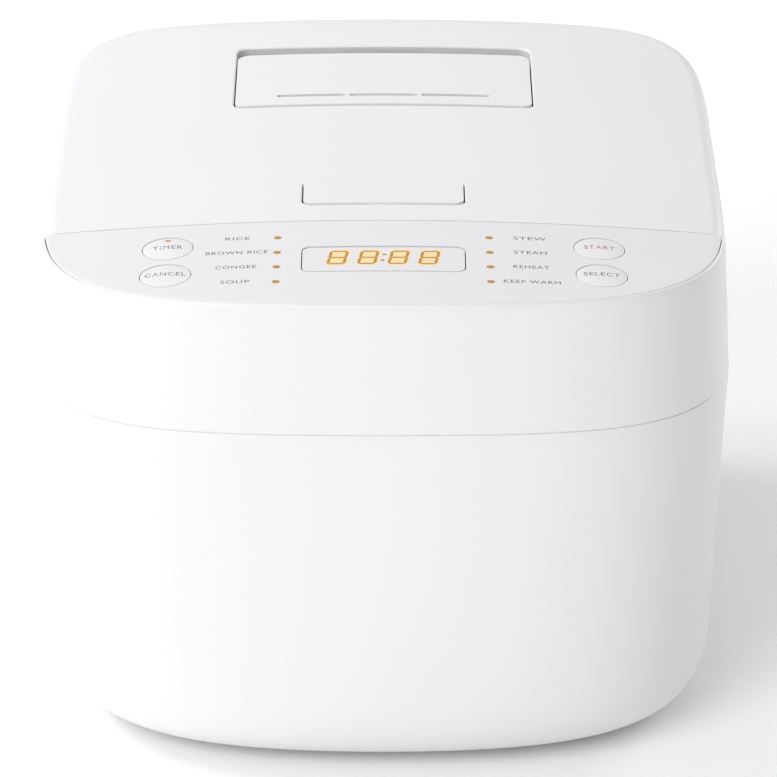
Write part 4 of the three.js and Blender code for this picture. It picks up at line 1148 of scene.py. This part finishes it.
def makeSensorSpring():
    # an open coil, made at its rest length; in use it shortens as the pot sensor goes down
    low, high, middle = boxOf("sensor_spring")
    radius = spring["radius"]
    wire = (high[0] - low[0]) / 2 - radius
    rise = high[2] - low[2] - 2 * wire
    sides = [2 * math.pi * k / spring["sides"] for k in range(spring["sides"])]
    rings = []
    for i in range(spring["steps"] + 1):
        share = i / spring["steps"]
        turn = 2 * math.pi * spring["turns"] * share
        outward = Vector((math.cos(turn), math.sin(turn), 0))
        centre = Vector((middle[0], middle[1], low[2] + wire + rise * share)) + radius * outward
        rings.append([(centre + wire * (math.cos(a) * outward + Vector((0, 0, math.sin(a))))) * mm
                      for a in sides])
    piece = linkObject("sensorSpring", ringsMesh("sensorSpring", rings), [stainlessSteel])
    finished(piece, "root", "steel", "sensor_spring", degrees=50)
    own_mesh(piece)


makePot()
makeSensorSpring()
makeInnerLid()
makeSteamValve()
print("pot and inner lid made")

# ---- hinge, inlet and underside ----

hinge = {
    "radius": 7.0, "lidHalf": 28.2, "wall": 1.7, "bore": 2.8, "blind": 2.5, "cheek": 6.0, "web": 8.5,
    "edge": 0.6, "capRound": 1.5,
}


def makeHinge():
    radius, edge, bore = hinge["radius"], hinge["edge"], hinge["bore"]
    for name in ("left", "right"):
        low, high, _ = boxOf("hinge_bracket_" + name)
        side = -1 if name == "left" else 1
        near, away = (low[0], high[0]) if side > 0 else (-high[0], -low[0])
        cap = hinge["capRound"]
        profile = [(0, near), (radius - edge, near), (radius, near + edge), (radius, away - cap)]
        profile += quarterTurn((radius - cap, away - cap), cap, 0, 90, 6) + [(0, away)]
        barrel = turnAlongX(revolvedMesh("barrel", profile, 96), hingeY, hingeZ)
        piece = linkObject("hingeBracket" + name.title(), barrel, [mouldedPolypropylene])
        web = boxMesh("web", (near, hingeY - hinge["web"], low[2]),
                      (away, hingeY - 0.4, form["partingLevel"] - 0.1), 0.3)
        combined(piece, [web], "UNION")
        combined(piece, [turnAlongX(rodMesh(bore, near - 5, away - hinge["blind"], 48), hingeY, hingeZ)])
        if side < 0:
            piece.data.transform(Matrix.Scale(-1, 4, (1, 0, 0)))
            piece.data.flip_normals()
        finished(piece, "root", "shell_plastic", "hinge_bracket_" + name, degrees=28)
    low, high, _ = boxOf("lid_hinge_barrel")
    half, room = hinge["lidHalf"], hinge["radius"] - hinge["wall"]
    cheek = half - hinge["cheek"]
    loop = [(bore, -half), (radius - edge, -half), (radius, -half + edge), (radius, half - edge)]
    loop += [(radius - edge, half), (bore, half), (bore, cheek), (room, cheek), (room, -cheek)]
    loop += [(bore, -cheek), (bore, -half)]
    barrel = turnAlongX(revolvedMesh("barrel", loop, 96), hingeY, hingeZ)
    piece = linkObject("lidHingeBarrel", barrel, [mouldedPolypropylene])
    webs = [boxMesh("web", (-half, hingeY - hinge["web"], hingeZ + 0.2), (half, hingeY - 2.6, high[2]), 0.05)]
    webs.append(boxMesh("web", (3 - half, low[1], high[2] - 2.5),
                        (half - 3, hingeY - 5, high[2] - 0.01), 0.4))
    combined(piece, webs, "UNION")
    rods = (rodMesh(bore, -half - 1, half + 1, 48), rodMesh(room, -cheek, cheek, 96))
    combined(piece, [turnAlongX(rod, hingeY, hingeZ) for rod in rods])
    finished(piece, "lid", "shell_plastic", "lid_hinge_barrel", degrees=28)


inlet = {"flange": 1.6, "rim": 4.99, "wall": 1.8, "round": 2.2, "pinSlot": 0.15}


def makeInlet():
    # a flanged socket with rounded corners and three blade pins
    low, high, _ = boxOf("power_inlet")
    seat = high[1] - inlet["flange"]
    rim = inlet["rim"] - inlet["wall"]
    body = boxMesh("body", (low[0] + rim, low[1], low[2] + rim),
                   (high[0] - rim, high[1] - 0.3, high[2] - rim), 0.8)
    piece = linkObject("powerInlet", body, [texturedNylon])
    combined(piece, [boxMesh("flange", (low[0], seat, low[2]), high, 0.7)], "UNION")
    rim = inlet["rim"]
    socket = boxMesh("socket", (low[0] + rim, low[1] + inlet["wall"], low[2] + rim),
                     (high[0] - rim, high[1] + 9, high[2] - rim), inlet["round"], 5)
    combined(piece, [socket])
    pins = [boxOf(f"inlet_pin_{i}") for i in range(1, 4)]
    grow = inlet["pinSlot"]
    combined(piece, [boxMesh("slot", [v - grow for v in pin[0]], [v + grow for v in pin[1]])
                     for pin in pins])
    finished(piece, "root", "dark_plastic", "power_inlet", degrees=28)
    for i, (pinLow, pinHigh, _) in enumerate(pins, 1):
        pin = linkObject(f"bladePin{i}", boxMesh("pin", pinLow, pinHigh, 0.5), [stainlessSteel])
        finished(pin, "root", "steel", f"inlet_pin_{i}")


base = {
    "opening": 88.0, "edge": 0.5, "slot": (3.2, 28.0), "slotCorner": 1.5, "slotStep": 10.0, "slotRow": 46.0,
    "stem": 3.3, "shank": 2.1, "head": 3.8, "headDepth": 2.0, "drill": (-9, 30), "cross": (1.9, 0.4),
}


def makeUnderside():
    low, high, _ = boxOf("base_cover")
    reach, edge = base["opening"], base["edge"]
    profile = [(share * (reach - edge), low[2]) for share in (0, 0.3, 0.6, 0.85)]
    profile += quarterTurn((reach - edge, low[2] + edge), edge, 270, 360, 4)
    profile += [(reach, high[2]), (0, high[2])]
    cover = outlined("baseCover", profile, mouldedPolypropylene)
    width, depth = base["slot"]
    corner = base["slotCorner"]
    slot = prismMesh("slot", roundedOutline(width, -depth / 2, depth / 2, (corner, corner), 6), *drillSpan)
    points = [(i * base["slotStep"], sectionY + side * base["slotRow"], low[2])
              for side in (-1, 1) for i in range(-2, 3)]
    cuts = [meshOf(copied("slots", slot, points, mouldedPolypropylene))]
    under, over = base["drill"]
    head, shank, seat = base["head"], base["shank"], low[2] + base["headDepth"]
    for i in range(1, 5):
        cuts.append(rodMesh(base["stem"], under, over, 32, boxOf(f"foot_{i}")[2][:2]))
        hole = [(0, under), (head, under), (head, seat), (shank, seat), (shank, over), (0, over)]
        cuts.append(revolvedMesh("hole", hole, 32, boxOf(f"base_screw_{i}")[2][:2]))
    combined(cover, cuts)
    finished(cover, "root", "shell_plastic", "base_cover", degrees=28)
    for i in range(1, 5):
        footLow, footHigh, place = boxOf(f"foot_{i}")
        radius = (footHigh[0] - footLow[0]) / 2
        stand = low[2] - 0.3
        tread = [(0, 0.5), (2.6, 0.5), (2.9, 0), (4.4, 0), (4.7, 0.5), (5.3, 0.5), (5.6, 0)]
        profile = tread + quarterTurn((radius - 1.2, 1.2), 1.2, 270, 360, 6)
        profile += [(radius, stand - 0.2), (radius - 0.2, stand), (3, stand)]
        profile += [(3, footHigh[2]), (0, footHigh[2])]
        foot = linkObject(f"rubberFoot{i}", revolvedMesh("foot", profile, 64, place[:2]), [greyFootRubber])
        finished(foot, "root", "foot_rubber", f"foot_{i}")
        screwLow, screwHigh, place = boxOf(f"base_screw_{i}")
        radius = (screwHigh[0] - screwLow[0]) / 2
        bottom = screwLow[2]
        profile = [(0, bottom)] + quarterTurn((radius - 0.6, bottom + 0.6), 0.6, 270, 360, 5)
        profile += [(radius, bottom + 1.5), (1.5, bottom + 1.5), (1.5, screwHigh[2]), (0, screwHigh[2])]
        screw = linkObject(f"baseScrew{i}", revolvedMesh("screw", profile, 48, place[:2]), [stainlessSteel])
        x, y = place[:2]
        long, thin = base["cross"]
        cross = [boxMesh("slot", (x - a, y - b, bottom - 1), (x + a, y + b, bottom + 1))
                 for a, b in ((long, thin), (thin, long))]
        combined(screw, cross)
        finished(screw, "root", "steel", f"base_screw_{i}")


makeHinge()
makeInlet()
makeUnderside()
print("hinge, inlet and underside made")

# ---- finishes of the CAD nodes that stay ----

kept = {
    "rim_frame": mouldedPolypropylene, "lid_frame": mouldedPolypropylene, "latch_hook": texturedNylon,
    "display_module": texturedNylon, "panel_board": solderMask, "power_board": solderMask,
    "heating_plate": castAluminium, "thermostat_cap": spunAluminium, "thermal_fuse": spunAluminium,
    "heat_shield": stainlessSteel, "sensor_seat": stainlessSteel,
    "hinge_shaft": stainlessSteel, "hinge_spring": stainlessSteel, "latch_pin": stainlessSteel,
    "latch_keeper": stainlessSteel, "lid_sensor": stainlessSteel,
}
for node, material in kept.items():
    piece = bpy.data.objects[node]
    for slotItem in piece.material_slots:
        slotItem.material = material
print("CAD nodes finished")

# ---- floor, lights and camera ----

studio = {
    "floor": "#FFFFFF", "world": 0.535,
    "key": {"place": (-1.8, -2.5, 1.9), "size": 2.4, "power": 66.0},
    "fill": {"place": (2.2, 2.4, 1.0), "size": 1.4, "power": 30.0},
    "top": {"place": (-1.0, 0.3, 1.2), "size": 0.9, "power": 11.0},
}


def makeStudio():
    mesh = bpy.data.meshes.new("floor")
    half = 6.0
    corners = [(-half, -half, 0), (half, -half, 0), (half, half, 0), (-half, half, 0)]
    mesh.from_pydata(corners, [], [(0, 1, 2, 3)])
    floor = linkObject("floor", mesh, [])
    material = bpy.data.materials.new("paperFloor")
    material.use_nodes = True
    shader = material.node_tree.nodes["Principled BSDF"]
    shader.inputs["Base Color"].default_value = linearColour(studio["floor"])
    shader.inputs["Roughness"].default_value = 0.9
    shader.inputs["Specular IOR Level"].default_value = 0.1
    mesh.materials.append(material)
    world = bpy.data.worlds.new("studio")
    world.use_nodes = True
    world.node_tree.nodes["Background"].inputs["Color"].default_value = (1, 1, 1, 1)
    world.node_tree.nodes["Background"].inputs["Strength"].default_value = studio["world"]
    scene.world = world
    target = Vector((0, 0, 0.1))
    for name in ("key", "fill", "top"):
        lamp = studio[name]
        data = bpy.data.lights.new(name, "AREA")
        data.shape = "DISK"
        data.size = lamp["size"]
        data.energy = lamp["power"]
        holder = bpy.data.objects.new(name, data)
        holder.location = lamp["place"]
        holder.rotation_euler = (target - Vector(lamp["place"])).to_track_quat("-Z", "Y").to_euler()
        scene.collection.objects.link(holder)
    scene.view_settings.view_transform = "Standard"


view = {"before": 1822.2, "above": 779.4, "pitch": 25.8}


def makeCamera():
    # a long lens looking down on the front
    data = bpy.data.cameras.new("camera")
    data.sensor_width = 36
    data.lens = 233.8
    data.shift_x = 0.00644
    camera = bpy.data.objects.new("camera", data)
    pitch = math.radians(view["pitch"])
    camera.location = (0, (sectionY - view["before"]) * mm, (form["crownLevel"] + view["above"]) * mm)
    camera.rotation_euler = (math.pi / 2 - pitch, 0, 0)
    scene.collection.objects.link(camera)
    scene.camera = camera


makeStudio()
makeCamera()
